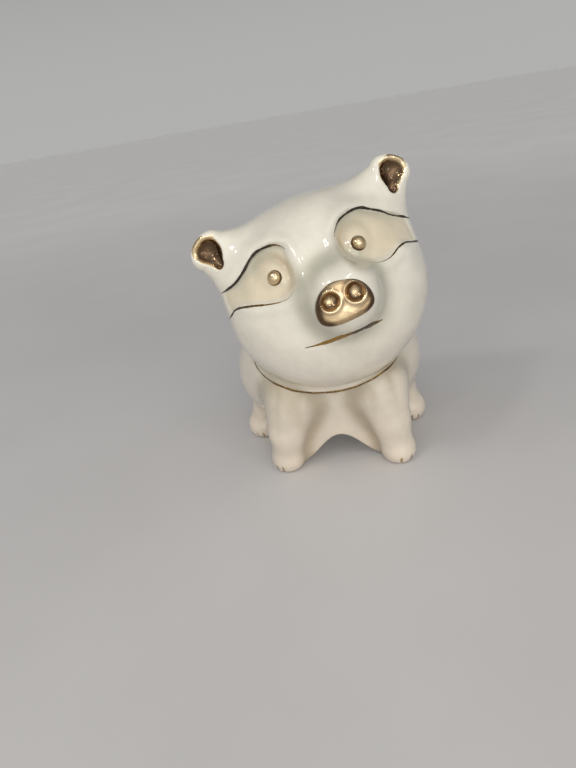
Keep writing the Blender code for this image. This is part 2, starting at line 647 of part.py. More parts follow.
def snout_plate():
    """The plate lofted up to a crowned face, with two nostril dimples."""
    outline = snout_outline(0.0)
    bm = bmesh.new()
    levels = [(1.0, -SNOUT_SEAT), *SNOUT_CROWN]
    middle = 0.5 * (SNOUT_DOME - SNOUT_DROP)
    rings = [[bm.verts.new((share * x, middle + share * (y - middle), z)) for x, y in outline]
             for share, z in levels]
    loops = [[bm.edges.new(pair) for pair in zip(ring, ring[1:] + ring[:1])] for ring in rings]
    for low, high in zip(loops, loops[1:]):
        bmesh.ops.bridge_loops(bm, edges=low + high)
    bm.faces.new(rings[0])
    bm.faces.new(rings[-1])
    plate = add_object("snout_plate", mesh_from(bm, "snout_plate"))
    plate.matrix_world = snout_place()
    for number, (across, up, radius) in enumerate(NOSTRILS):
        bm = bmesh.new()
        rise = SNOUT_CROWN[-1][1] - 0.4 + radius - NOSTRIL_DEPTH
        add_ball(bm, (across, up, rise), (radius,) * 3, subdivisions=3)
        dimple = add_object("nostril_%d" % number, mesh_from(bm, "nostril"))
        dimple.matrix_world = snout_place()
        boolean(plate, dimple)
    return applied(plate)


def snout_pocket():
    """Cutter for the pocket in the muzzle that the plate sits in."""
    pocket = prism("snout_pocket", snout_outline(GAP), -SNOUT_SEAT - GAP, 20.0)
    pocket.matrix_world = snout_place()
    return pocket


def pupil_centre(side):
    """Where a pupil's centre lies on the pig: a little under the surface of the eyeball."""
    x, z = EYE_PATCHES[0 if side > 0 else 1][2]
    depth = math.sqrt(1.0 - (x / HEAD_RADII[0]) ** 2 - (z / HEAD_RADII[2]) ** 2)
    start = np.array((x, -HEAD_RADII[1] * depth, z))
    outward = start / np.square(HEAD_RADII)
    return on_head(start - PUPIL_SUNK * outward / np.linalg.norm(outward))


def pupil(name, side, grow=0.0):
    """A pupil bead, or with grow its socket's cutter."""
    bm = bmesh.new()
    bmesh.ops.create_icosphere(bm, subdivisions=2, radius=PUPIL_RADIUS + grow)
    item = add_object(name, mesh_from(bm, name))
    item.location = Vector(pupil_centre(side) * MM)
    return item


def tail():
    """A rolled clay tail: out of the rump, round one open curl and up to a thin tip."""
    curve = bpy.data.curves.new("tail_path", "CURVE")
    curve.dimensions = "3D"
    curve.bevel_depth = MM
    curve.bevel_resolution = 2
    curve.use_fill_caps = True
    steps = 26
    spline = curve.splines.new("POLY")
    spline.points.add(steps - 1)
    for point, t in zip(spline.points, np.linspace(0.0, 1.0, steps)):
        turn = math.tau * TAIL_TURNS * ease(t, 0.05, 1.0)
        reach = TAIL_COIL_RADIUS * ease(t, 0.15, 0.5)
        x = reach * math.sin(turn)
        y = TAIL_ROOT[1] + TAIL_REACH * (1.0 - (1.0 - t) ** 1.8)
        z = TAIL_ROOT[2] + reach * (1.0 - math.cos(turn))
        point.co = (x * MM, y * MM, z * MM, 1.0)
        point.radius = TAIL_RADIUS + (TAIL_TIP_RADIUS - TAIL_RADIUS) * t
    path = add_object("tail_path", curve)
    graph = bpy.context.evaluated_depsgraph_get()
    graph.update()
    mesh = bpy.data.meshes.new_from_object(path.evaluated_get(graph))
    bm = bmesh.new()
    bm.from_mesh(mesh)
    bmesh.ops.remove_doubles(bm, verts=bm.verts, dist=1e-6)
    bm.to_mesh(mesh)
    bm.free()
    return add_object("tail", mesh)


def stopper():
    """Rubber stopper: a flange under the belly and a tapered plug up through the hole."""
    top = BELLY_LAND_Z - GAP
    profile = [(0.0, PLUG_HEIGHT), (10.2, PLUG_HEIGHT), (11.2, PLUG_HEIGHT - 0.8), (12.0, PLUG_HEIGHT - 2.2),
               (11.6, 1.2), (11.6, 0.0), (FLANGE_RADIUS - 0.5, 0.0), (FLANGE_RADIUS, -0.5),
               (FLANGE_RADIUS, -1.4), (FLANGE_RADIUS - 0.8, -FLANGE_THICKNESS), (3.0, -FLANGE_THICKNESS),
               (2.2, -1.2), (0.0, -1.2)]
    bm = bmesh.new()
    ring = [bm.verts.new((r, 0.0, z)) for r, z in profile]
    rim = [bm.edges.new(pair) for pair in zip(ring, ring[1:])]
    bmesh.ops.spin(bm, geom=ring + rim, cent=(0, 0, 0), axis=(0, 0, 1), angle=math.tau, steps=40,
                   use_merge=True)
    bmesh.ops.remove_doubles(bm, verts=bm.verts, dist=1e-3)
    item = add_object("stopper", mesh_from(bm, "stopper"))
    item.location = (0.0, STOPPER_Y * MM, top * MM)
    return item


# ---- assembly -------------------------------------------------------------------------------------
def main():
    """Build every piece and set the pig over the origin."""
    clear_scene()
    glaze = finish("ivory_glaze", (0.83, 0.77, 0.66), 0.12)
    gold = finish("gold_lustre", (0.62, 0.42, 0.16), 0.2, 1.0)
    rubber = finish("grey_rubber", (0.30, 0.29, 0.27), 0.7)

    blank, hollow = pig_blank(), hollow_blank()
    ground = block("ground", (0.0, 0.0, 0.0), (0.0, 0.0, -1.0))
    sockets = [pupil("pupil_socket_%d" % side, side, GAP) for side in (1, -1)]
    pieces = [
        dress(body_casting(blank, hollow, ground), glaze),
        dress(head_casting(blank, hollow, snout_pocket(), sockets), glaze),
        dress(ear("left_ear", blank, 1), glaze),
        dress(ear("right_ear", blank, -1), glaze),
        dress(snout_plate(), gold),
        dress(pupil("left_pupil", 1), gold),
        dress(pupil("right_pupil", -1), gold),
        dress(tail(), glaze),
        dress(stopper(), rubber),
    ]
    for item in list(bpy.data.objects):
        if item not in pieces:
            bpy.data.objects.remove(item, do_unlink=True)
    centre = bpy.data.objects.new("footprint_centre", None)
    bpy.context.scene.collection.objects.link(centre)
    centre.location = (FOOTPRINT_SHIFT[0] * MM, FOOTPRINT_SHIFT[1] * MM, 0.0)
    for item in pieces:
        item.parent = centre


main()
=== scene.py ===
"""Looks of a glazed pottery piggy bank: glossy cream castings, gold lustre, painted lines, rubber stopper.

The forms are worked out in the pig's own millimetres: nose towards -Y, soles on Z = 0, its left side at +X.
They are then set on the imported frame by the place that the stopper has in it.
"""
import logging
import math
from collections.abc import Callable
from dataclasses import dataclass
from enum import Enum

import bpy
import numpy as np
from mathutils import Matrix, Vector


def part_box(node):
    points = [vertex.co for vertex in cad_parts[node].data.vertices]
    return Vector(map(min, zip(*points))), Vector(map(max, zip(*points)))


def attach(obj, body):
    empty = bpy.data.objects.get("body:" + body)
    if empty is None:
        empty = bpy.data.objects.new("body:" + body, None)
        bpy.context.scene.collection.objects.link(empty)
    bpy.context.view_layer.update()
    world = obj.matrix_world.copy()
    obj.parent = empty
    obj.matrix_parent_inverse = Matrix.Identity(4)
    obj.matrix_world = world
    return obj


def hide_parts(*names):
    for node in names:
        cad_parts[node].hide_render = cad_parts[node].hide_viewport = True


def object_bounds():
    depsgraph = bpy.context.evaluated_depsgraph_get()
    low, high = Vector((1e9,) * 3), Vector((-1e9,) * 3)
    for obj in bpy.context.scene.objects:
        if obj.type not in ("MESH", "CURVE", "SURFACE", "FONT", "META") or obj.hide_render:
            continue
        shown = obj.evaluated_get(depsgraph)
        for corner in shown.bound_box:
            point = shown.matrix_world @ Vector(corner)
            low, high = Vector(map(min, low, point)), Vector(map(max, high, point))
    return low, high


Array = np.ndarray
Field = Callable[[Array], Array]
Pair = tuple[float, float]
Triple = tuple[float, float, float]
Colour = Triple
Socket = bpy.types.NodeSocket
Material = bpy.types.Material
Piece = bpy.types.Object

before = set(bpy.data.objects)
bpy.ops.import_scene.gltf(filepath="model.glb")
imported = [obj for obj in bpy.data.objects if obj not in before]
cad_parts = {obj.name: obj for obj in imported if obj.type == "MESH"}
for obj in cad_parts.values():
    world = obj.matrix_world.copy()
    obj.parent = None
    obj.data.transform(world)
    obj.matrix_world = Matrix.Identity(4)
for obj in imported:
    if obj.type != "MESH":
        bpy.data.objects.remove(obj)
CAD_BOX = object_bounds()
LOG = logging.getLogger("piggy_bank")
MM = 0.001
STOPPER_FROM_NOSE = 16.0    # the stopper's axis on the pig: X = 0 and this far along Y
LINE_SIDES = 14             # points round a brushed line
FAR = 1e3                   # farther from every form than any place on the pig, in millimetres


# ---- forms: distances to a surface, negative inside, in millimetres ---------------------------------


class Side(Enum):
    """The pig's own sides, as the sign of X."""

    LEFT = 1
    RIGHT = -1


def turned(turn: float, pitch: float, tilt: float) -> Array:
    """Work out a rotation.

    Args:
        turn: Degrees about the upright, positive towards the pig's left.
        pitch: Degrees that the nose tips down.
        tilt: Degrees that the left side is raised.

    Returns:
        A 3 by 3 rotation matrix.
    """
    a, b, c = (math.radians(value) for value in (turn, -tilt, pitch))
    upright = np.array([[math.cos(a), -math.sin(a), 0], [math.sin(a), math.cos(a), 0], [0, 0, 1]])
    sideways = np.array([[math.cos(b), 0, math.sin(b)], [0, 1, 0], [-math.sin(b), 0, math.cos(b)]])
    nose = np.array([[1, 0, 0], [0, math.cos(c), -math.sin(c)], [0, math.sin(c), math.cos(c)]])
    return upright @ sideways @ nose


def fold(first: Array, second: Array, width: float) -> Array:
    """How near surface places are to the fold where two forms' distances are alike, from 0 to 1."""
    return bump(first - second, 0.0, width) * (1.0 - ease(np.minimum(first, second), 1.5, 6.0))


def ease(value: Array, low: float, high: float) -> Array:
    """Rise smoothly from 0 where a value is at low to 1 where it is at high."""
    t = np.clip((value - low) / (high - low), 0.0, 1.0)
    return t * t * (3.0 - 2.0 * t)


def bump(value: Array, centre: float, width: float) -> Array:
    """A smooth bell of height 1 at centre that falls to about a third at a width's distance."""
    return np.exp(-np.square((value - centre) / width))


def blend(first: Array, second: Array, radius: float) -> Array:
    """Distances to two forms joined by a fillet of about this radius."""
    share = np.clip(0.5 + 0.5 * (second - first) / radius, 0.0, 1.0)
    return second + (first - second) * share - radius * share * (1.0 - share)


def carve(form: Array, tool: Array, radius: float) -> Array:
    """Distances to what is left of a form less a tool's shape, the cut's edge rounded."""
    return -blend(-form, tool, radius)


def slope_of(form: Field, places: Array, here: Array, nudge: float) -> Array:
    """How a form's distances rise along each axis, from a nudge past places where they are here."""
    return np.stack([form(places + nudge * axis) - here for axis in np.eye(3)], 1) / nudge


def outward(form: Field, places: Array, nudge: float) -> Array:
    """The way straight out of a form at each place, from its distances a nudge to either side."""
    rise = np.stack([form(places + nudge * axis) - form(places - nudge * axis) for axis in np.eye(3)], 1)
    return rise / np.linalg.norm(rise, axis=1)[:, None]


def run_along(path: Array) -> Array:
    """The length of a path from its start to each of its points."""
    return np.concatenate([[0.0], np.cumsum(np.linalg.norm(np.diff(path, axis=0), axis=1))])


def smooth_curve(stations: tuple[Pair, ...], steps: int, closed: bool = False) -> Array:
    """Run a smooth curve through stations.

    Args:
        stations: The flat places it passes through.
        steps: Points from each station to the next.
        closed: Whether it runs back to its start.

    Returns:
        The curve's points, one a row.
    """
    p = np.asarray(stations, float)
    if not closed:
        p = np.concatenate([[2 * p[0] - p[1]], p, [2 * p[-1] - p[-2]]])
    t = np.linspace(0.0, 1.0, steps, endpoint=False)[:, None]
    spans = []
    for i in range(len(p) if closed else len(p) - 3):
        a, b, c, d = np.roll(p, -i, 0)[:4]
        spans.append(0.5 * (2 * b + (c - a) * t + (2 * a - 5 * b + 4 * c - d) * t**2
                            + (3 * b - a - 3 * c + d) * t**3))
    return np.concatenate(spans if closed else [*spans, p[-2:-1]])


def line_distance(places: Array, line: Array) -> Array:
    """Measure flat places against an open line of points."""
    nearest = np.full(len(places), np.inf)
    for a, b in zip(line[:-1], line[1:]):
        edge, offset = b - a, places - a
        t = np.clip(offset @ edge / max(edge @ edge, 1e-12), 0.0, 1.0)
        nearest = np.minimum(nearest, np.linalg.norm(offset - t[:, None] * edge, axis=1))
    return nearest


def outline_distance(places: Array, outline: Array) -> Array:
    """Measure flat places against a closed outline.

    Args:
        places: Flat places, one a row.
        outline: The outline's points in order.

    Returns:
        Distances to the outline, negative inside.
    """
    inside = np.zeros(len(places), bool)
    for a, b in zip(outline, np.roll(outline, -1, 0)):
        edge, offset = b - a, places - a
        spans = (places[:, 1] >= min(a[1], b[1])) & (places[:, 1] < max(a[1], b[1]))
        inside ^= spans & ((edge[0] * offset[:, 1] - edge[1] * offset[:, 0]) * np.sign(edge[1]) > 0.0)
    nearest = line_distance(places, np.append(outline, outline[:1], 0))
    return np.where(inside, -nearest, nearest)


@dataclass(frozen=True)
class Ball:
    """A round form with its own radius along each axis."""

    centre: Triple
    radii: Triple
    turn: Triple = (0.0, 0.0, 0.0)

    def distance(self, places: Array) -> Array:
        """Distances from places to the ball."""
        local = (places - self.centre) @ turned(*self.turn)
        near = np.linalg.norm(local / self.radii, axis=1)
        steep = np.linalg.norm(local / np.square(self.radii), axis=1) + 1e-9
        return near * (near - 1.0) / steep


@dataclass(frozen=True)
class Limb:
    """A round form that tapers from a start to an end."""

    start: Triple
    end: Triple
    start_radius: float
    end_radius: float

    def distance(self, places: Array) -> Array:
        """Distances from places to the limb."""
        offset, along = places - self.start, np.subtract(self.end, self.start)
        t = np.clip(offset @ along / (along @ along), 0.0, 1.0)
        radius = self.start_radius + (self.end_radius - self.start_radius) * t
        return np.linalg.norm(offset - t[:, None] * along, axis=1) - radius


@dataclass(frozen=True)
class Cone(Limb):
    """A limb made of two spheres and the cone that touches both, with no crease between them."""

    def distance(self, places: Array) -> Array:
        """Distances from places to the rounded cone."""
        offset, axis = places - self.start, np.subtract(self.end, self.start)
        length = float(np.linalg.norm(axis))
        along = offset @ (axis / length)
        aside = np.linalg.norm(offset - along[:, None] * (axis / length), axis=1)
        lean = (self.start_radius - self.end_radius) / length
        upright = math.sqrt(1.0 - lean * lean)
        foot = along - lean / upright * aside
        side = upright * aside + lean * along - self.start_radius
        first = np.hypot(along, aside) - self.start_radius
        last = np.hypot(along - length, aside) - self.end_radius
        return np.where(foot < 0.0, first, np.where(foot > length, last, side))


@dataclass(frozen=True)
class EyePatch:
    """One sunk eye patch: outlines as (across, up) on the head, with rims and a low eyeball."""

    brow: tuple[Pair, ...]
    lid: tuple[Pair, ...]
    eye: Pair
    side: Side
    depth: float = 1.5
    ridge: float = 0.95
    cheek: float = 0.55
    socket_radius: float = 6.2
    socket_depth: float = 1.0
    eyeball: float = 1.2
    eyeball_radius: float = 3.9

    def outline(self) -> Array:
        """The patch's closed outline: along the brow, then back along the lid."""
        return smooth_curve(self.brow + self.lid[::-1], 4, closed=True)

    def inside(self, local: Array) -> Array:
        """1 for places on the upright head inside the patch and 0 outside, with a soft edge."""
        share = np.zeros(len(local))
        near = (self.side.value * local[:, 0] > 0.0) & (local[:, 1] < 0.0) & (local[:, 2] > 4.0)
        share[near] = 1.0 - ease(outline_distance(local[near][:, (0, 2)], self.outline()), -2.0, 0.6)
        return share

    def about_eye(self, flat: Array, lift: float, evenness: float) -> tuple[Array, Array]:
        """Measure flat places round the eyeball.

        Args:
            flat: Places on the upright head as across and up.
            lift: How much being above the eyeball counts next to being inward of it.
            evenness: What the distance is weighed by in the second result.

        Returns:
            Distances from the eyeball's middle, and how far inward and up the places lie, from -1 to 1.
        """
        offset = flat - self.eye
        reach = np.hypot(offset[:, 0], offset[:, 1])
        inward = (-self.side.value * offset[:, 0] + lift * offset[:, 1]) / (evenness * reach + 1e-6)
        return reach, np.clip(inward, -1.0, 1.0)

    def ring(self, local: Array) -> Array:
        """How deep in the ring round the eyeball places on the upright head lie, from 0 to 1."""
        reach, inward = self.about_eye(local[:, (0, 2)], 0.6, 1.0)
        near = (local[:, 1] < 0.0) & (self.side.value * local[:, 0] > 0.0)
        # The ring holds glaze pooling and painted shade, stronger on its inner, upper side.
        return near * bump(reach, self.socket_radius + 0.6, 1.9) * (0.55 + 0.45 * inward)

    def relief(self, local: Array) -> Array:
        """Work out how far the modelled patch stands out of the plain head.

        Args:
            local: Places on the upright head.

        Returns:
            Heights in millimetres, negative where the patch is sunk.
        """
        own = self.side.value
        height = np.zeros(len(local))
        x, y, z = local.T
        near = (own * x > -6.0) & (y < 6.0) & (z > -4.0) & (z < 46.0)
        flat = local[near][:, (0, 2)]
        edge = outline_distance(flat, self.outline())
        reach, inward = self.about_eye(flat, 0.8, 1.28)
        across = own * flat[:, 0]
        fade, inner = 1.0 - ease(across, 33.0, 43.0), 1.0 - ease(across, 14.0, 32.0)
        above = ease(flat[:, 1], 20.0, 26.0)
        height[near] = (
            -self.depth * (1.0 - ease(edge, -1.5, 0.5)) * (0.35 + 0.65 * fade)
            + self.ridge * bump(edge, 2.6, 1.9) * ease(edge, 0.0, 1.2) * above * (0.3 + 0.7 * inner)
            + self.cheek * bump(edge, 2.4, 2.2) * ease(edge, 0.0, 1.2) * (1.0 - above) * fade
            - self.socket_depth * bump(reach, self.socket_radius, 2.0) * (0.75 + 0.45 * inward)
            + self.eyeball * bump(reach, 0.0, self.eyeball_radius))
        return height


@dataclass(frozen=True)
class EarShape:
    """One ear: tapers from a root to the corners of a blunt end, with a scooped cup."""

    side: Side
    root: Triple = (27.5, 3.0, 22.0)
    root_radius: float = 16.5
    corners: tuple[tuple[float, float, float, float], ...] = (
        (39.8, -1.0, 40.4, 5.0), (43.6, -1.0, 38.0, 6.2), (46.4, -1.0, 35.4, 4.9))
    flatness: float = 1.2
    shift: Triple = (0.0, 0.0, 0.0)
    scoop: Triple = (43.6, -7.6, 38.8)
    scoop_radius: float = 6.0
    scoop_corners: tuple[Triple, ...] = (
        (41.2, -6.8, 32.6), (40.4, -6.4, 43.6), (49.4, -5.6, 39.6))
    corner_radius: float = 2.5
    corner_fillet: float = 4.0
    scoop_fillet: float = 1.0
    rim_cover: float = 3.2

    def own(self, local: Array) -> Array:
        """Places on the head measured as on a left ear."""
        return local * (self.side.value, 1.0, 1.0) - self.shift

    def distance(self, local: Array) -> Array:
        """Distances from places on the upright head to the ear without its cup."""
        squash = (1.0, self.flatness, 1.0)
        form = np.full(len(local), FAR)
        for *corner, radius in self.corners:
            root, end = (tuple(np.multiply(place, squash)) for place in (self.root, corner))
            taper = Limb(root, end, self.root_radius, radius)
            form = blend(form, taper.distance(self.own(local) * squash), self.corner_fillet)
        return form

    def scoop_distance(self, local: Array) -> Array:
        """Distances from places on the upright head to the three-cornered scoop in its face."""
        form = np.full(len(local), FAR)
        for corner in self.scoop_corners:
            lobe = Limb(self.scoop, corner, self.scoop_radius, self.corner_radius)
            form = blend(form, lobe.distance(self.own(local)), self.scoop_fillet)
        return form

    def gilding(self, local: Array) -> Array:
        """Distances from places on the upright head to the gilding, which also covers the outer rim."""
        over = local - np.multiply(self.rim_cover, (self.side.value, 0.0, 1.0))
        return np.minimum(self.scoop_distance(local), self.scoop_distance(over)) - 0.3


@dataclass(frozen=True)
class HeadForm:
    """The head with its muzzle, ears, modelled face and neck roll."""

    skull: Ball = Ball((4.4, -12.0, 89.5), (45.8, 39.5, 44.2), (11.0, 0.0, 13.3))
    muzzle: Limb = Limb((2.4, -22.0, 4.0), (1.6, -33.5, 7.6), 19.6, 16.2)
    ears: tuple[EarShape, ...] = (EarShape(Side.LEFT), EarShape(Side.RIGHT, shift=(-2.6, 0.0, 0.8)))
    patches: tuple[EyePatch, ...] = (
        EyePatch(brow=((7.6, 28.9), (9.8, 31.4), (13.0, 33.2), (18.0, 33.7), (23.0, 32.6), (27.5, 30.4),
                       (33.5, 26.2), (41.0, 20.0)),
                 lid=((9.2, 21.3), (12.8, 17.2), (17.5, 14.6), (23.0, 13.2), (28.5, 13.2), (33.5, 13.6),
                      (41.0, 10.0)),
                 eye=(15.9, 23.8), side=Side.LEFT),
        EyePatch(brow=((-11.6, 31.2), (-13.4, 33.6), (-17.0, 34.3), (-21.5, 33.5), (-25.5, 31.3),
                       (-30.5, 27.7), (-36.0, 24.1), (-42.0, 20.5)),
                 lid=((-12.8, 21.2), (-14.8, 17.9), (-18.0, 15.6), (-22.0, 14.9), (-27.0, 15.1),
                      (-32.5, 15.4), (-38.0, 14.9), (-42.5, 11.6)),
                 eye=(-20.4, 24.2), side=Side.RIGHT))
    neck: Ball = Ball((1.0, -3.0, 61.0), (36.5, 31.0, 8.0), (0.0, 22.0, 0.0))
    mouth: tuple[Pair, ...] = (
        (-18.5, -6.2), (-14.0, -6.5), (-9.5, -6.4), (-3.8, -5.6), (2.4, -5.4), (7.0, -6.1), (12.0, -7.4))
    groove: float = 0.35
    groove_width: float = 1.6
    ear_fillet: float = 12.0
    muzzle_fillet: float = 4.8
    scoop_edge: float = 1.3
    neck_fillet: float = 2.0
    clear_of_head: float = 75.0
    marches: int = 120

    def lips(self, local: Array) -> Array:
        """How deep the groove of the mouth is at places on the upright head."""
        depth = np.zeros(len(local))
        near = (local[:, 1] < -25.0) & (np.abs(local[:, 2] - self.mouth[0][1]) < 8.0)
        reach = line_distance(local[near][:, (0, 2)], smooth_curve(self.mouth, 3))
        depth[near] = self.groove * bump(reach, 0.0, self.groove_width)
        return depth

    def to_local(self, places: Array) -> Array:
        """Turn places on the pig into places on the upright head."""
        return (places - self.skull.centre) @ turned(*self.skull.turn)

    def to_pig(self, local: Array) -> Array:
        """Turn places on the upright head into places on the pig."""
        return np.asarray(local) @ turned(*self.skull.turn).T + self.skull.centre

    def spot(self, turn: Array, up: Array) -> Array:
        """Find places on the head's surface.

        Args:
            turn: Degrees round the upright head from the nose, positive to the pig's left.
            up: Heights on the upright head.

        Returns:
            Places on the pig, one a row.
        """
        angle = np.radians(turn)
        inward = np.stack([-np.sin(angle), np.cos(angle), np.zeros(len(turn))], 1)
        local = -self.clear_of_head * inward + up[:, None] * (0.0, 0.0, 1.0)
        for _ in range(self.marches):
            local = local + 0.5 * self.distance(self.to_pig(local))[:, None] * inward
        return self.to_pig(local)

    def folds(self, places: Array) -> Array:
        """How near places on the pig are to the muzzle's root, from 0 to 1."""
        return fold(self.skull.distance(places) - 1.5, self.muzzle.distance(self.to_local(places)), 6.0)

    def distance(self, places: Array) -> Array:
        """Distances from places on the pig to the head."""
        local = self.to_local(places)
        form = self.skull.distance(places)
        for ear in self.ears:
            form = blend(form, ear.distance(local), self.ear_fillet)
        form = blend(form, self.muzzle.distance(local), self.muzzle_fillet)
        for patch in self.patches:
            form = form - patch.relief(local)
        for ear in self.ears:
            form = carve(form, ear.scoop_distance(local), self.scoop_edge)
        form = form + self.lips(local)
        return blend(form, self.neck.distance(places), self.neck_fillet)


@dataclass(frozen=True)
class FrontLeg:
    """A front leg: a bulging shoulder, a straight shin and a foot."""

    shoulder: Triple
    knee: Triple
    ankle: Triple
    foot: Ball
    radii: Triple = (15.4, 9.6, 8.2)

    def distance(self, places: Array) -> Array:
        """Distances from places on the pig to the leg."""
        upper = Cone(self.shoulder, self.knee, self.radii[0], self.radii[1]).distance(places)
        lower = Cone(self.knee, self.ankle, self.radii[1], self.radii[2]).distance(places)
        return blend(blend(upper, lower, 2.5), self.foot.distance(places), 2.0)


@dataclass(frozen=True)
class BodyForm:
    """Torso, haunches, four legs and the arched apron between the front legs."""

    torso: Ball = Ball((0.0, 14.0, 46.0), (43.5, 44.0, 34.0))
    haunch: Ball = Ball((28.6, 22.0, 41.0), (20.0, 25.0, 24.0))
    front: tuple[FrontLeg, ...] = (
        FrontLeg((22.5, -13.6, 40.5), (27.4, -16.6, 22.0), (29.6, -16.2, 8.0),
                 Ball((30.2, -16.8, 5.5), (8.7, 9.3, 8.0))),
        FrontLeg((-18.0, -13.6, 40.5), (-23.8, -16.0, 22.0), (-25.4, -13.6, 8.0),
                 Ball((-26.0, -14.0, 5.5), (8.7, 9.3, 8.0))))
    thigh: Limb = Limb((32.0, 26.0, 27.0), (40.0, 25.0, 9.0), 14.0, 7.8)
    hind_foot: Ball = Ball((41.5, 23.5, 6.0), (9.0, 9.5, 8.0))
    valley: Ball = Ball((2.0, -42.0, 28.0), (28.0, 27.0, 34.0))
    apron_y: float = -12.8
    apron_lean: float = 0.25
    apron_thickness: float = 9.0
    apron_top: float = 50.0
    arch_x: float = 1.8
    arch_height: float = 16.2
    arch_half_span: float = 22.5
    leg_fillet: float = 3.0
    apron_fillet: float = 3.6
    haunch_fillet: float = 8.0
    thigh_fillet: float = 5.0
    foot_fillet: float = 4.0
    valley_edge: float = 2.5
    nick_edge: float = 0.6
    sole_edge: float = 1.2
    toes: tuple[tuple[int, float], ...] = ((0, 2.0), (0, 42.0), (1, -20.0), (1, -46.0),
                                           (2, 2.0), (2, 28.0), (3, -2.0), (3, -28.0))
    nick_ends: tuple[Pair, Pair] = ((0.86, 0.3), (1.05, 4.6))
    nick_radii: Pair = (0.8, 0.5)

    def feet(self) -> tuple[Ball, ...]:
        """The four feet: front left, front right, hind left, hind right."""
        x, y, z = self.hind_foot.centre
        mirrored = Ball((-x, y, z), self.hind_foot.radii)
        return (self.front[0].foot, self.front[1].foot, self.hind_foot, mirrored)

    def notches(self, places: Array) -> Array:
        """Distances from places on the pig to the nicks pressed between the toes."""
        form = np.full(len(places), FAR)
        low = places[:, 2] < 12.0
        for number, turn in self.toes:
            foot = self.feet()[number]
            way = np.multiply((math.sin(math.radians(turn)), -math.cos(math.radians(turn))), foot.radii[:2])
            low_end, high_end = ((*(foot.centre[:2] + share * way), z) for share, z in self.nick_ends)
            nick = Limb(low_end, high_end, *self.nick_radii)
            form[low] = np.minimum(form[low], nick.distance(places[low]))
        return form

    def apron(self, places: Array) -> Array:
        """Distances from places to the web whose lower edge is a bell-shaped arch."""
        x, y, z = places.T
        share = np.clip((x - self.arch_x) / self.arch_half_span, -1.0, 1.0)
        arch = 0.5 * self.arch_height * (1.0 + np.cos(np.pi * share))
        middle = self.apron_y - self.apron_lean * (z - self.arch_height)
        slab = np.abs(y - middle) - 0.5 * self.apron_thickness
        beside = np.abs(x - self.arch_x) - self.arch_half_span - 1.5
        for limit, radius in ((arch - z, 2.2), (z - self.apron_top, 6.0), (beside, 2.0)):
            slab = carve(slab, -limit, radius)
        return slab

    def chest(self, places: Array) -> Array:
        """Distances from places on the pig to the torso with the valley down its front."""
        return carve(self.torso.distance(places), self.valley.distance(places), self.valley_edge)

    def folds(self, places: Array) -> Array:
        """How near places on the pig are to where the front legs meet the apron, from 0 to 1."""
        web = np.minimum(self.apron(places), self.chest(places))
        return np.maximum(*(fold(web, leg.distance(places), 5.0) for leg in self.front))

    def distance(self, places: Array) -> Array:
        """Distances from places on the pig to the body."""
        mirror = places * (-1.0, 1.0, 1.0)
        form = self.chest(places)
        for own in (places, mirror):
            form = blend(form, self.haunch.distance(own), self.haunch_fillet)
            form = blend(form, self.thigh.distance(own), self.thigh_fillet)
            form = blend(form, self.hind_foot.distance(own), self.foot_fillet)
        for leg in self.front:
            form = blend(form, leg.distance(places), self.leg_fillet)
        form = blend(form, self.apron(places), self.apron_fillet)
        form = carve(form, self.notches(places), self.nick_edge)
        return carve(form, places[:, 2], self.sole_edge)


@dataclass(frozen=True)
class HollowForm:
    """The space inside both castings: torso and head less the wall, run together at the neck."""

    torso: Ball
    head: Ball
    wall: float = 4.0
    throat: float = 6.0

    def distance(self, places: Array, outside: Array) -> Array:
        """Distances to the open space, which keeps a wall away from an outer surface this far outside."""
        space = blend(self.torso.distance(places), self.head.distance(places), self.throat)
        return carve(space, -(outside + 0.8 * self.wall), 1.5)


# ---- skins ------------------------------------------------------------------------------------------

def corner_views(grid: Array, size: Array) -> list[Array]:
    """The eight parts of this size that start at a grid's first corner or a step beside it."""
    return [grid[i:i + size[0], j:j + size[1], k:k + size[2]] for i, j, k in np.ndindex(2, 2, 2)]


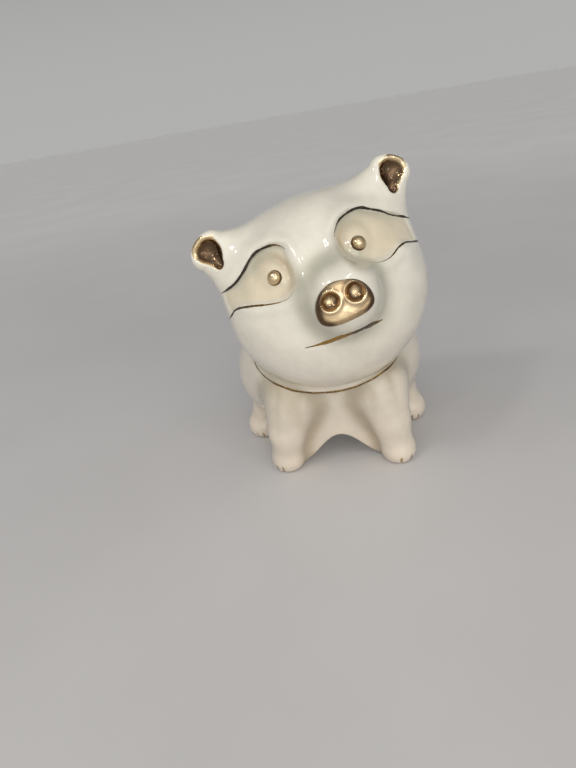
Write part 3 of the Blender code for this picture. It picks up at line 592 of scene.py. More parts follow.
@dataclass(frozen=True)
class Skinner:
    """Turns a form into a smooth closed skin of small four-sided faces."""

    voxel: float = 0.8
    block: int = 4
    chunk: int = 400_000
    nudge: float = 0.04
    least_steep: float = 0.2
    margin: float = 1.25
    relax_rounds: int = 2

    def sample(self, form: Field, places: Array) -> Array:
        """Measure many places a chunk at a time."""
        return np.concatenate([form(places[i:i + self.chunk]) for i in range(0, len(places), self.chunk)])

    def grid(self, form: Field, low: Array, high: Array) -> Array:
        """Sample a form on a grid, finely only where its surface may pass.

        Args:
            form: The form.
            low: Lowest corner of the box that holds it.
            high: Highest corner of that box.

        Returns:
            A three-dimensional array of distances.
        """
        step = self.block * self.voxel
        blocks = np.ceil((high - low) / step).astype(int)
        corners = np.stack(np.meshgrid(*(np.arange(n + 1) for n in blocks), indexing="ij"), -1)
        values = self.sample(form, low + step * corners.reshape(-1, 3)).reshape(blocks + 1)
        nearest = np.minimum.reduce([np.abs(part) for part in corner_views(values, blocks)])
        active = np.pad(nearest < self.margin * step, 1)
        for axis in range(3):
            values, active = (np.repeat(grid, self.block, axis) for grid in (values, active))
        nodes = self.block * blocks + 1
        values = values[tuple(slice(0, n) for n in nodes)].copy()
        wanted = np.logical_or.reduce(corner_views(active[(slice(self.block - 1, None),) * 3], nodes))
        values[wanted] = self.sample(form, low + self.voxel * np.argwhere(wanted))
        return values

    def net(self, values: Array) -> tuple[Array, Array]:
        """Lay one point in each cell that the surface passes and join neighbours into faces.

        Args:
            values: Distances on a grid.

        Returns:
            The points in grid steps, and the faces as rows of four point numbers.
        """
        solid = values < 0.0
        cells = np.array(values.shape) - 1
        count = np.add.reduce(corner_views(solid, cells), dtype=np.uint8)
        index = np.argwhere((count > 0) & (count < 8))
        number = np.full(cells, -1, np.int64)
        number[tuple(index.T)] = np.arange(len(index))
        total, crossings = np.zeros((len(index), 3)), np.zeros(len(index))
        for *corner, axis in np.ndindex(2, 2, 2, 3):
            if corner[axis]:
                continue
            start, step = index + corner, np.eye(3, dtype=int)[axis]
            first, second = (values[tuple(ends.T)] for ends in (start, start + step))
            cut = (first < 0.0) != (second < 0.0)
            share = np.where(cut, first / np.where(cut, first - second, 1.0), 0.0)
            total += (start + share[:, None] * step) * cut[:, None]
            crossings += cut
        faces = [self.walls(solid, number, axis) for axis in range(3)]
        return total / crossings[:, None], np.concatenate(faces)

    @staticmethod
    def walls(solid: Array, number: Array, axis: int) -> Array:
        """Join the points of the four cells round each grid edge that the surface crosses.

        Args:
            solid: Whether each grid place is in the form.
            number: The number of each cell's point.
            axis: The axis that the edges run along.

        Returns:
            The faces as rows of four point numbers.
        """
        low, high = [slice(1, -1)] * 3, [slice(1, -1)] * 3
        low[axis], high[axis] = slice(0, -1), slice(1, None)
        others = [(axis + 1) % 3, (axis + 2) % 3]
        edge = np.argwhere(solid[tuple(low)] != solid[tuple(high)])
        edge[:, others] += 1
        ring = []
        for offset in ((-1, -1), (0, -1), (0, 0), (-1, 0)):
            cell = edge.copy()
            cell[:, others] += offset
            ring.append(number[tuple(cell.T)])
        ring = np.stack(ring, 1)
        return np.where(solid[tuple(edge.T)][:, None], ring, ring[:, ::-1])

    def settle(self, form: Field, points: Array, rounds: int) -> Array:
        """Move points along the form's slope until they lie on its surface."""
        for _ in range(rounds):
            here = self.sample(form, points)
            slope = slope_of(lambda places: self.sample(form, places), points, here, self.nudge)
            steep = np.maximum(np.square(slope).sum(1), self.least_steep)
            points = points - np.clip(here / steep, -self.voxel, self.voxel)[:, None] * slope
        return points

    def skin(self, form: Field, low: Triple, high: Triple) -> tuple[Array, list]:
        """Make a form's skin.

        Args:
            form: The form.
            low: Lowest corner of the box that holds it.
            high: Highest corner of that box.

        Returns:
            Points in millimetres, and faces of four points each that look outwards.
        """
        corner = np.array(low, float)
        points, faces = self.net(self.grid(form, corner, np.array(high, float)))
        points = self.settle(form, corner + self.voxel * points, 1)
        for _ in range(self.relax_rounds):
            points = self.settle(form, relaxed(points, faces), 1)
        return points, faces.tolist()


def relaxed(points: Array, faces: Array) -> Array:
    """Move every point halfway to the middle of its neighbours, which evens the faces out."""
    start, end = faces.ravel(), np.roll(faces, -1, 1).ravel()
    start, end = np.concatenate([start, end]), np.concatenate([end, start])
    weight = np.bincount(start, minlength=len(points))[:, None]
    middle = np.stack([np.bincount(start, points[end, k], len(points)) for k in range(3)], 1) / weight
    return 0.5 * (points + middle)


# ---- meshes -----------------------------------------------------------------------------------------


def origin() -> Array:
    """The pig's own origin in the frame, in millimetres, from where the stopper's axis stands."""
    low, high = (np.array(corner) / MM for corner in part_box("stopper"))
    middle = 0.5 * (low + high)
    return np.array((middle[0], middle[1] - STOPPER_FROM_NOSE, 0.0))


def in_frame(place: Triple) -> Vector:
    """A place on the pig as a place in the frame, in metres."""
    return Vector(np.add(place, origin()) * MM)


def show(name: str, data: bpy.types.ID) -> Piece:
    """Put a mesh, lamp or camera into the scene under a name."""
    item = bpy.data.objects.new(name, data)
    bpy.context.scene.collection.objects.link(item)
    return item


def make_piece(name: str, points: Array, faces: list, material: Material,
               attributes: dict[str, Array] | None = None) -> Piece:
    """Turn points on the pig into a smooth shaded piece.

    Args:
        name: The piece's name.
        points: Points in the pig's own millimetres.
        faces: Point numbers of each face.
        material: Its finish.
        attributes: Values for each point that the finish reads, by name.

    Returns:
        The new object.
    """
    mesh = bpy.data.meshes.new(name)
    mesh.from_pydata(((points + origin()) * MM).tolist(), [], faces)
    mesh.materials.append(material)
    mesh.polygons.foreach_set("use_smooth", [True] * len(mesh.polygons))
    for label, values in (attributes or {}).items():
        layer = mesh.attributes.new(label, "FLOAT", "POINT")
        layer.data.foreach_set("value", np.asarray(values, np.float32))
    mesh.update()
    LOG.info("%s: %d faces", name, len(mesh.polygons))
    return show(name, mesh)


def bands(rows: int, sides: int, closed: bool = False) -> list[list[int]]:
    """Four-sided faces between neighbouring rings of points, as point numbers.

    Args:
        rows: How many rings there are.
        sides: Points round each ring.
        closed: Whether the last ring also joins the first.

    Returns:
        The faces.
    """
    starts = [(i * sides, (i + 1) % rows * sides) for i in range(rows if closed else rows - 1)]
    steps = [(j, (j + 1) % sides) for j in range(sides)]
    return [[a + j, a + k, b + k, b + j] for a, b in starts for j, k in steps]


def sweep(path: Array, radii: Array, sides: int, closed: bool = False,
          flat: float = 1.0, up: Array | None = None) -> tuple[Array, list]:
    """Sweep a round section along a path.

    Args:
        path: The path's points.
        radii: The section's radius at each point.
        sides: Points round the section.
        closed: Whether the path runs back to its start.
        flat: The section's height next to its width.
        up: The way that the section's height points at each path point.

    Returns:
        Points and faces of a closed skin.
    """
    ahead = np.roll(path, -1, 0) - np.roll(path, 1, 0)
    if not closed:
        ahead[0], ahead[-1] = path[1] - path[0], path[-1] - path[-2]
    ahead /= np.linalg.norm(ahead, axis=1)[:, None]
    if up is None:
        up = np.empty_like(path)
        lean = np.eye(3)[2 if abs(ahead[0][2]) < 0.9 else 0]
        for i, way in enumerate(ahead):
            lean = lean - way * (lean @ way)
            lean = lean / np.linalg.norm(lean)
            up[i] = lean
    across = np.cross(ahead, up)
    across /= np.linalg.norm(across, axis=1)[:, None]
    over = np.cross(across, ahead)
    angle = np.arange(sides) * math.tau / sides
    wide, high = np.cos(angle)[None, :, None], flat * np.sin(angle)[None, :, None]
    ring = wide * across[:, None] + high * over[:, None]
    points = (path[:, None] + radii[:, None, None] * ring).reshape(-1, 3)
    faces = bands(len(path), sides, closed)
    if not closed:
        faces += [list(range(sides))[::-1], list(range(len(points) - sides, len(points)))]
    first = points[faces[0]]
    normal = np.cross(first[1] - first[0], first[2] - first[1])
    if normal @ (first.mean(0) - path[0]) < 0.0:
        faces = [face[::-1] for face in faces]
    return points, faces


def lathe(profile: Array, sides: int) -> tuple[Array, list]:
    """Turn a profile about its own upright axis.

    Args:
        profile: Rows of radius and height from the bottom's middle to the top's middle.
        sides: Points round the axis.

    Returns:
        Points and faces of a closed skin.
    """
    angle = np.arange(sides) * math.tau / sides
    inner = profile[1:-1]
    ring = np.stack([np.cos(angle), np.sin(angle)], 1)
    points = np.concatenate([np.concatenate([r * ring, np.full((sides, 1), h)], 1) for r, h in inner])
    points = np.concatenate([points, [(0.0, 0.0, profile[0][1]), (0.0, 0.0, profile[-1][1])]])
    bottom, top = len(points) - 2, len(points) - 1
    last = (len(inner) - 1) * sides
    faces = bands(len(inner), sides)
    for j in range(sides):
        k = (j + 1) % sides
        faces += [[bottom, k, j], [top, last + j, last + k]]
    return points, faces


# ---- finishes ---------------------------------------------------------------------------------------


class Mix(Enum):
    """The ways that two colours are put together."""

    LAY_OVER = "MIX"
    STAIN = "MULTIPLY"


class Sum(Enum):
    """The sums that are worked out on patterns."""

    ADD = "ADD"
    SUBTRACT = "SUBTRACT"
    MULTIPLY = "MULTIPLY"
    POWER = "POWER"
    MAXIMUM = "MAXIMUM"


class Rise(Enum):
    """How a run of values is turned into another one."""

    EVEN = "LINEAR"
    SOFT = "SMOOTHSTEP"
    SOFTER = "SMOOTHERSTEP"


class Wires:
    """Short ways to wire patterns in a node tree."""

    def __init__(self, tree: bpy.types.NodeTree, place: str) -> None:
        """Work in a tree, with patterns laid out by one of its kinds of place."""
        self.tree = tree
        self.place = self.node("TexCoord").outputs[place]

    def node(self, kind: str, feeds: dict[str | int, object] | None = None,
             **settings: str) -> bpy.types.Node:
        """Add a node.

        Args:
            kind: What it does, as the shader nodes are named.
            feeds: Fixed values or other nodes' outputs for its sockets, by name or number.
            settings: Its own settings, made before it is fed.

        Returns:
            The node.
        """
        node = self.tree.nodes.new("ShaderNode" + kind)
        for label, value in settings.items():
            setattr(node, label, value)
        for label, value in (feeds or {}).items():
            self.feed(node.inputs[label], value)
        return node

    def feed(self, socket: Socket, value: object) -> None:
        """Give a socket a fixed value or another node's output."""
        if isinstance(value, Socket):
            self.tree.links.new(value, socket)
        elif isinstance(value, tuple) and len(value) == 3 and socket.type == "RGBA":
            socket.default_value = (*value, 1.0)
        else:
            socket.default_value = value

    def read(self, attribute: str) -> Socket:
        """The values that a mesh carries under a name."""
        return self.node("Attribute", attribute_name=attribute).outputs["Fac"]

    def axis(self, number: int) -> Socket:
        """How far places lie along one axis."""
        return self.node("SeparateXYZ", {0: self.place}).outputs[number]

    def noise(self, size: float, detail: float = 2.0, roughness: float = 0.5,
              stretch: Triple = (1.0, 1.0, 1.0)) -> Socket:
        """A soft random pattern.

        Args:
            size: About the distance between its patches, in millimetres.
            detail: How many finer patterns lie on it.
            roughness: How strong those are.
            stretch: Its size along each axis next to the first.

        Returns:
            Values round 0.5.
        """
        scale = tuple(1.0 / (size * MM * part) for part in stretch)
        mapped = self.node("Mapping", {"Vector": self.place, "Scale": scale}).outputs[0]
        return self.node("TexNoise", {"Vector": mapped, "Scale": 1.0, "Detail": detail,
                                      "Roughness": roughness}).outputs["Fac"]

    def dots(self, spacing: float, radius: float, share: float) -> Socket:
        """Small round dots scattered through the clay.

        Args:
            spacing: About the distance between places where a dot may be, in millimetres.
            radius: Their radius in millimetres.
            share: The share of those places that have one.

        Returns:
            1 in a dot and 0 elsewhere.
        """
        cells = self.node("TexVoronoi", {"Vector": self.place, "Scale": 1.0 / (spacing * MM)})
        near = self.span(cells.outputs["Distance"], radius / spacing, 0.5 * radius / spacing)
        lot = self.node("SeparateColor", {0: cells.outputs["Color"]}).outputs[0]
        return self.maths(Sum.MULTIPLY, near, self.span(lot, share + 0.01, share))

    def span(self, value: Socket, low: float, high: float, start: float = 0.0, end: float = 1.0,
             rise: Rise = Rise.SOFT) -> Socket:
        """Turn the run of values from low to high into one from start to end, held inside it."""
        return self.node("MapRange", {"Value": value, "From Min": low, "From Max": high, "To Min": start,
                                      "To Max": end}, interpolation_type=rise.value).outputs[0]

    def maths(self, way: Sum, first: object, second: object) -> Socket:
        """Work out one sum on two values."""
        return self.node("Math", {0: first, 1: second}, operation=way.value).outputs[0]

    def part(self, value: object, share: float) -> Socket:
        """A share of a pattern, or of what a mesh carries under a name."""
        return self.maths(Sum.MULTIPLY, self.read(value) if isinstance(value, str) else value, share)

    def colour(self, share: object, first: object, second: object, way: Mix = Mix.LAY_OVER) -> Socket:
        """Put a second colour over a first by a share."""
        return self.node("Mix", {0: share, 6: first, 7: second}, data_type="RGBA",
                         blend_type=way.value).outputs[2]

    def ramp(self, value: Socket, stops: tuple[tuple[float, Colour], ...]) -> Socket:
        """Run through several colours as a value rises."""
        node = self.node("ValToRGB", {0: value})
        stones = node.color_ramp.elements
        while len(stones) < len(stops):
            stones.new(0.5)
        for stone, (at, shade) in zip(stones, stops):
            stone.position, stone.color = at, (*shade, 1.0)
        return node.outputs[0]


class Bench(Wires):
    """A new material with its shader."""

    def __init__(self, name: str) -> None:
        """Start a material of this name with a single shader."""
        self.material = bpy.data.materials.new(name)
        self.material.use_nodes = True
        self.material.node_tree.nodes.clear()
        super().__init__(self.material.node_tree, "Object")
        self.shader = self.node("BsdfPrincipled")
        self.node("OutputMaterial", {0: self.shader.outputs[0]})

    def set(self, **values: object) -> None:
        """Feed the shader's sockets, whose names are given with _ for a blank."""
        for label, value in values.items():
            self.feed(self.shader.inputs[label.replace("_", " ")], value)

    def relief(self, *layers: tuple[Socket, float]) -> None:
        """Give the shader fine relief from patterns, each with its height in millimetres."""
        normal = {}
        for height, depth in layers:
            node = self.node("Bump", {"Strength": 1.0, "Distance": depth * MM, "Height": height, **normal})
            normal = {"Normal": node.outputs[0]}
        self.set(**normal)


@dataclass(frozen=True)
class GoldLustre:
    """Thin fired gold: a mirror brushed unevenly, with painted dark reflections and painted highlights."""

    # deep is the darkest tone, and also the colour of the painted dark reflections.
    deep: Colour = (0.10, 0.058, 0.034)
    middle: Colour = (0.50, 0.35, 0.20)
    bright: Colour = (0.80, 0.62, 0.36)
    # The colour of the painted highlights.
    painted_glint: Colour = (0.96, 0.76, 0.48)
    roughness: float = 0.14

    def shade(self, bench: Bench) -> Socket:
        """The gold's colour: tones that vary at random, with painted highlights and painted dark reflections
        laid over them.
        """
        stops = ((0.2, self.deep), (0.42, self.middle), (0.72, self.bright))
        tone = bench.ramp(bench.noise(9.0, 3.0), stops)
        # Painted highlights, then painted dark reflections, over the tone.
        tone = bench.colour(bench.part("shine", 0.9), tone, self.painted_glint)
        return bench.colour(bench.span(bench.read("pool"), 0.1, 0.9, 0.0, 0.92), tone, self.deep)

    def polish(self, bench: Bench) -> Socket:
        """The gold's roughness, with rubbed and hazy places."""
        return bench.span(bench.noise(3.5, 4.0, 0.6), 0.25, 0.8, 0.6 * self.roughness, 1.9 * self.roughness)

    def material(self, name: str) -> Material:
        """Make the gold as a material of its own."""
        bench = Bench(name)
        bench.set(Metallic=1.0, Base_Color=self.shade(bench), Roughness=self.polish(bench))
        bench.relief((bench.noise(4.5, 1.0), 0.16), (bench.noise(2.2, 3.0), 0.05),
                     (bench.noise(0.5, 2.0, stretch=(1.0, 1.0, 4.0)), 0.006))
        return bench.material


@dataclass(frozen=True)
class IvoryGlaze:
    """Clear cream glaze on pale clay: cooler where pooled or in painted shade, peach below as painted light,
    with specks and gilding.
    """

    # high and low are painted light: paler and cooler towards the top, darker and warmer towards the feet.
    high: Colour = (0.74, 0.70, 0.60)
    low: Colour = (0.68, 0.59, 0.48)
    # Pooled colours: glaze pooling and painted shade in hollows and folds, cooler higher up.
    pooled_and_shaded: Colour = (0.40, 0.32, 0.21)
    pooled_and_shaded_high: Colour = (0.455, 0.435, 0.34)
    # socket: glaze pooling and painted shade in the ring round each eyeball.
    socket: Colour = (0.50, 0.40, 0.26)
    patch: Colour = (0.72, 0.62, 0.44)
    clay: Colour = (0.52, 0.45, 0.36)
    speck: Colour = (0.16, 0.10, 0.06)
    fleck: Colour = (0.30, 0.24, 0.17)
    clay_roughness: float = 0.8
    gold: GoldLustre = GoldLustre()

    def body(self, bench: Bench) -> Socket:
        """The glaze's colour: painted light as its rise from foot to top, the eye patches, glaze pooling and
        painted shade, clouds and specks.
        """
        # Painted light: the colour runs from low at the feet to high at the top.
        drift = bench.maths(Sum.ADD, bench.axis(2), bench.part(bench.noise(38.0, 2.0), 0.045))
        rise = bench.span(drift, 0.03, 0.125)
        shade = bench.colour(rise, self.low, self.high)
        shade = bench.colour(bench.part("patch", 0.85), shade, self.patch)
        # Glaze pooling and painted shade in the ring round each eyeball.
        shade = bench.colour(bench.part("ring", 0.9), shade, self.socket)
        # Glaze pooling and painted shade: darker where the surface is closed in or lies in a fold.
        pooled_and_shaded_tone = bench.colour(rise, self.pooled_and_shaded, self.pooled_and_shaded_high)
        shade = bench.colour(bench.span(bench.read("pool"), 0.0, 0.42, 0.0, 0.82), shade, pooled_and_shaded_tone)
        cloud = bench.span(bench.noise(13.0, 4.0, 0.6), 0.3, 0.7, 0.93, 1.04)
        shade = bench.colour(1.0, shade, cloud, Mix.STAIN)
        shade = bench.colour(bench.part(bench.dots(5.0, 0.26, 0.16), 0.45), shade, self.speck)
        return bench.colour(bench.part(bench.dots(9.0, 0.42, 0.1), 0.22), shade, self.fleck)

    def gilding(self, bench: Bench) -> Socket:
        """Where the gilding lies, with a brushed edge and worn places."""
        wobble = bench.part(bench.maths(Sum.SUBTRACT, bench.noise(1.6, 3.0), 0.5), 0.7)
        brushed = bench.span(bench.maths(Sum.ADD, bench.read("gilt"), wobble), 0.08, -0.08)
        return bench.maths(Sum.MULTIPLY, brushed, bench.span(bench.noise(1.1, 4.0, 0.65), 0.30, 0.38))

    def material(self, name: str) -> Material:
        """Make the glaze with its gilded and bare places.

        Args:
            name: The material's name.

        Returns:
            A material that reads pool, patch, ring, gilt, shine and bare from its mesh.
        """
        bench = Bench(name)
        bare, gilt = bench.read("bare"), self.gilding(bench)
        fired = bench.colour(bare, self.body(bench), self.clay)
        smear = bench.span(bench.noise(21.0, 5.0, 0.65, (1.0, 1.0, 0.5)), 0.42, 0.72, 0.085, 0.21)
        rough = bench.colour(gilt, smear, self.gold.polish(bench))
        cover = bench.maths(Sum.SUBTRACT, 1.0, bench.maths(Sum.MAXIMUM, gilt, bare))
        bench.set(Base_Color=bench.colour(gilt, fired, self.gold.shade(bench)), Metallic=gilt,
                  Roughness=bench.colour(bare, rough, (self.clay_roughness,) * 3),
                  Coat_Weight=bench.part(cover, 0.55), Coat_Roughness=0.035, IOR=1.5)
        bench.relief((bench.noise(9.0, 1.0), 0.10), (bench.noise(1.7, 2.0), 0.006),
                     (bench.maths(Sum.SUBTRACT, 1.0, bench.dots(7.0, 0.22, 0.3)), 0.06))
        return bench.material


@dataclass(frozen=True)
class LinePaint:
    """Lustre laid on with a fine brush: dark bronze, with golden stretches that are painted reflections of
    light.
    """

    # stops: the golden share along the line, painted reflections of light; elsewhere it stays dark.
    stops: tuple[Pair, ...] = ((0.0, 0.6), (0.3, 0.1), (1.0, 0.0))
    dark: Colour = (0.045, 0.034, 0.026)
    golden: Colour = (0.42, 0.25, 0.075)

    def material(self, name: str) -> Material:
        """Make the line's finish.

        Args:
            name: The material's name.

        Returns:
            A material that reads along, from 0 to 1 from the line's start to its end.
        """
        bench = Bench(name)
        drift = bench.part(bench.maths(Sum.SUBTRACT, bench.noise(6.0, 2.0), 0.5), 0.12)
        along = bench.maths(Sum.ADD, bench.read("along"), drift)
        # Painted reflections: golden where the stops give light, dark elsewhere.
        share = bench.ramp(along, tuple((at, (level,) * 3) for at, level in self.stops))
        flecks = bench.span(bench.noise(1.2, 4.0, 0.6), 0.35, 0.75, -0.18, 0.22)
        share = bench.span(bench.maths(Sum.ADD, share, flecks), 0.0, 1.0)
        bench.set(Base_Color=bench.colour(share, self.dark, self.golden),
                  Metallic=bench.span(share, 0.0, 0.6, 0.55, 0.95),
                  Roughness=bench.span(bench.noise(2.4, 3.0), 0.3, 0.7, 0.18, 0.36))
        bench.relief((bench.noise(0.7, 2.0), 0.02))
        return bench.material


@dataclass(frozen=True)
class GreyRubber:
    """Soft grey rubber with moulding haze, dust and scuffs."""

    colour: Colour = (0.20, 0.195, 0.185)
    dust: Colour = (0.36, 0.34, 0.31)

    def material(self, name: str) -> Material:
        """Make the rubber's finish."""
        bench = Bench(name)
        haze = bench.span(bench.noise(8.0, 5.0, 0.65), 0.4, 0.75, 0.0, 0.55)
        scuff = bench.span(bench.noise(1.0, 3.0, stretch=(9.0, 1.0, 1.0)), 0.62, 0.75, 0.0, 0.5)
        bench.set(Base_Color=bench.colour(bench.maths(Sum.MAXIMUM, haze, scuff), self.colour, self.dust),
                  Roughness=bench.span(bench.noise(5.0, 3.0), 0.3, 0.7, 0.5, 0.78))
        bench.relief((bench.noise(0.45, 3.0), 0.03))
        return bench.material


@dataclass(frozen=True)
class PlainPaint:
    """Matt pale paint of the floor, with a faint unevenness."""

    colour: Colour = (0.62, 0.605, 0.60)
    # far: the paler colour far from the pig, painted light.
    far: Colour = (0.86, 0.85, 0.845)
    roughness: float = 0.42

    def material(self, name: str) -> Material:
        """Make the paint, paler far from the pig: painted light that makes up for the lamps' fall-off."""
        bench = Bench(name)
        squares = [bench.maths(Sum.MULTIPLY, part, part) for part in (bench.axis(0), bench.axis(1))]
        reach = bench.maths(Sum.POWER, bench.maths(Sum.ADD, *squares), 0.5)
        plain = bench.colour(bench.span(reach, 0.1, 1.4), self.colour, self.far)
        tone = bench.span(bench.noise(160.0, 3.0), 0.3, 0.7, 0.97, 1.02)
        low, high = 0.9 * self.roughness, 1.15 * self.roughness
        bench.set(Base_Color=bench.colour(1.0, plain, tone, Mix.STAIN),
                  Roughness=bench.span(bench.noise(40.0, 3.0), 0.3, 0.7, low, high))
        bench.relief((bench.noise(3.0, 3.0), 0.006))
        return bench.material


# ---- the pig's form ---------------------------------------------------------------------------------


@dataclass(frozen=True)
class SnoutForm:
    """The snout plate: a round dome over a flatter bottom edge, rounded rim, two bowls with raised rims."""

    centre: Triple = (0.0, -46.4, 7.5)
    pitch: float = 12.0
    half_width: float = 11.5
    dome: float = 10.9
    drop: float = 5.8
    squareness: float = 2.6
    face: float = 2.9
    rounding: float = 2.4
    crown: float = 0.5
    crown_up: float = 2.5
    seat: float = 3.2
    back_edge: float = 0.3
    nostrils: tuple[Triple, ...] = ((-4.9, 4.4, 3.2), (5.3, 4.1, 3.4))
    bowl_depth: float = 1.9
    bowl_play: float = 0.5
    bowl_edge: float = 0.9
    rim_height: float = 0.55
    rim_gap: float = 0.7
    rim_width: float = 1.0
    pocket_inset: float = 1.3
    pocket_play: float = 0.6

    def axes(self) -> Array:
        """Rows: the plate's across, up and outward ways on the upright head."""
        tip = math.radians(self.pitch)
        return np.array([[1.0, 0.0, 0.0], [0.0, math.sin(tip), math.cos(tip)],
                         [0.0, -math.cos(tip), math.sin(tip)]])

    def outline(self, x: Array, z: Array) -> Array:
        """Distances from flat places on the plate to its outline, negative inside."""
        distances = []
        for height, power in ((self.dome, 2.0), (self.drop, self.squareness)):
            a, b = np.abs(x) / self.half_width + 1e-6, np.abs(z) / height + 1e-6
            reach = (a**power + b**power) ** (1.0 / power)
            steep = np.hypot(a ** (power - 1.0) / self.half_width, b ** (power - 1.0) / height)
            distances.append((reach - 1.0) * reach ** (power - 1.0) / steep)
        return np.where(z > 0.0, *distances)

    def own(self, local: Array) -> Array:
        """Places on the upright head as across, up and outward on the plate."""
        return (local - self.centre) @ self.axes().T

    def distance(self, own: Array) -> Array:
        """Distances from the plate's own places to the plate."""
        x, z, out = own.T
        edge = self.outline(x, z)
        away = np.square(x / self.half_width) + np.square((z - self.crown_up) / self.dome)
        face = self.face - self.crown * away
        for across, up, radius in self.nostrils:
            reach = np.hypot(x - across, z - up)
            face = face + self.rim_height * bump(reach, radius + self.rim_gap, self.rim_width)
        a, b = edge + self.rounding, out - face + self.rounding
        beyond = np.hypot(np.maximum(a, 0.0), np.maximum(b, 0.0))
        form = np.minimum(np.maximum(a, b), 0.0) + beyond - self.rounding
        form = carve(form, self.seat + out, self.back_edge)
        for across, up, radius in self.nostrils:
            bowl = Ball((across, up, self.face + radius - self.bowl_depth), (radius + self.bowl_play,) * 3)
            form = carve(form, bowl.distance(own), self.bowl_edge)
        return form

    def pocket(self, local: Array) -> Array:
        """Distances from the head's places to the pocket that the plate is bedded in."""
        x, z, out = self.own(local).T
        return np.maximum(self.outline(x, z) + self.pocket_inset, -(self.seat - self.pocket_play) - out)


@dataclass(frozen=True)
class PigForm:
    """Both castings as they are luted together."""

    head: HeadForm = HeadForm()
    body: BodyForm = BodyForm()
    snout: SnoutForm = SnoutForm()
    hollow: HollowForm = HollowForm(Ball((0.0, 14.0, 47.5), (39.5, 40.0, 28.5)),
                                    Ball((4.4, -12.0, 89.5), (41.8, 35.5, 40.2), (11.0, 0.0, 13.3)))
    lap: float = 1.0
    slot_y: float = 40.0
    slot_length: float = 28.0
    slot_width: float = 5.0
    slot_floor: float = 50.0
    land_height: float = 15.0
    land_radius: float = 18.0
    hole_radius: float = 12.3
    hole_top: float = 34.0
    pool_and_shade_reaches: tuple[float, ...] = (1.5, 3.5, 7.0, 12.0)
    fold_share: float = 0.40
    crease_rounds: int = 40

    def outside(self, places: Array) -> Array:
        """Distances to the whole pig as a solid."""
        return np.minimum(self.head.distance(places), self.body.distance(places))

    def bare(self, places: Array) -> Array:
        """How bare of glaze a casting is at places on it: all of its inner wall, from 0 to 1."""
        return ease(-self.outside(places), 1.5, 2.5)

    def luted(self, places: Array, own: Array, other: Array) -> Array:
        """How far places are out of a casting by way of the hollow or past its lap over the other one."""
        space = self.hollow.distance(places, np.minimum(own, other))
        return np.maximum(-space, 0.5 * (own - other) - self.lap)

    def head_casting(self, places: Array) -> Array:
        """Distances to the hollow head with its ears and the snout's pocket."""
        head, body = self.head.distance(places), self.body.distance(places)
        pocket = self.snout.pocket(self.head.to_local(places))
        return np.maximum.reduce([head, -pocket, self.luted(places, head, body)])

    def body_casting(self, places: Array) -> Array:
        """Distances to the hollow body with its coin slot and the stopper's hole."""
        head, body = self.head.distance(places), self.body.distance(places)
        form = np.maximum(body, self.luted(places, body, head))
        x, y, z = places.T
        run = 0.5 * (self.slot_length - self.slot_width)
        slot = np.hypot(x, np.maximum(np.abs(y - self.slot_y) - run, 0.0)) - 0.5 * self.slot_width
        form = carve(form, np.maximum(slot, self.slot_floor - z), 0.9)
        reach = np.hypot(x, y - STOPPER_FROM_NOSE)
        form = carve(form, np.maximum(reach - self.land_radius, z - self.land_height), 0.8)
        return carve(form, np.maximum(reach - self.hole_radius, z - self.hole_top), 0.5)

    def pool_and_shade_share(self, places: Array) -> Array:
        """How far each place on the surface is closed in by what stands round it or lies in a fold, from 0
        to about 1: glaze pooling and painted shade.
        """
        slope = slope_of(self.outside, places, self.outside(places), 0.1)
        slope /= np.linalg.norm(slope, axis=1)[:, None] + 1e-9
        closed = np.zeros(len(places))
        for reach in self.pool_and_shade_reaches:
            free = self.outside(places + reach * slope)
            closed += np.clip((reach - free) / reach, 0.0, 1.2) / len(self.pool_and_shade_reaches)
        # The folds add painted shade along the muzzle's root and where the front legs meet the apron.
        folds = np.maximum(self.head.folds(places), self.body.folds(places))
        return np.maximum(closed, self.fold_share * folds)

    def crease(self, rough: Array) -> Array:
        """Move places to where the head's surface meets the body's."""
        places = rough.copy()
        for turn in range(self.crease_rounds):
            form = (self.head.distance, self.body.distance)[turn % 2]
            here = form(places)
            slope = slope_of(form, places, here, 0.05)
            places -= (here / np.maximum(np.square(slope).sum(1), 0.2))[:, None] * slope
        return places


# ---- the pieces -------------------------------------------------------------------------------------


def ride_on_pig(piece: Piece, slot: str, *nodes: str) -> Piece:
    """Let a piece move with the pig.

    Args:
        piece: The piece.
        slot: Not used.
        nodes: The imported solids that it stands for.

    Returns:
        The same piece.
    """
    if nodes:
        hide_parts(*nodes)
    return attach(piece, "pig")


@dataclass(frozen=True)
class HeadCasting:
    """The hollow head with both ears, their scoops gilded."""

    form: PigForm
    skinner: Skinner = Skinner()
    low: Triple = (-56.0, -66.0, 38.0)
    high: Triple = (57.0, 33.0, 148.0)

    def build(self, glaze: Material) -> Piece:
        """Make the head and dress it in glaze."""
        points, faces = self.skinner.skin(self.form.head_casting, self.low, self.high)
        local = self.form.head.to_local(points)
        scoop = np.minimum(*(ear.gilding(local) for ear in self.form.head.ears))
        # Deep in the ear scoops: painted dark reflections; near their rims: a painted highlight; elsewhere
        # glaze pooling and painted shade.
        sunk = (scoop < 1.0) * np.maximum(*(-ear.distance(local) for ear in self.form.head.ears))
        piece = make_piece("glazed_head", points, faces, glaze, {
            "gilt": scoop, "bare": self.form.bare(points),
            "patch": np.maximum(*(eye.inside(local) for eye in self.form.head.patches)),
            "ring": np.maximum(*(eye.ring(local) for eye in self.form.head.patches)),
            "shine": bump(sunk, 0.5, 0.7),
            "pool": np.maximum(self.form.pool_and_shade_share(points), 0.9 * ease(sunk, 0.9, 2.6))})
        return ride_on_pig(piece, "ivory_glaze", "head_casting", "left_ear", "right_ear")


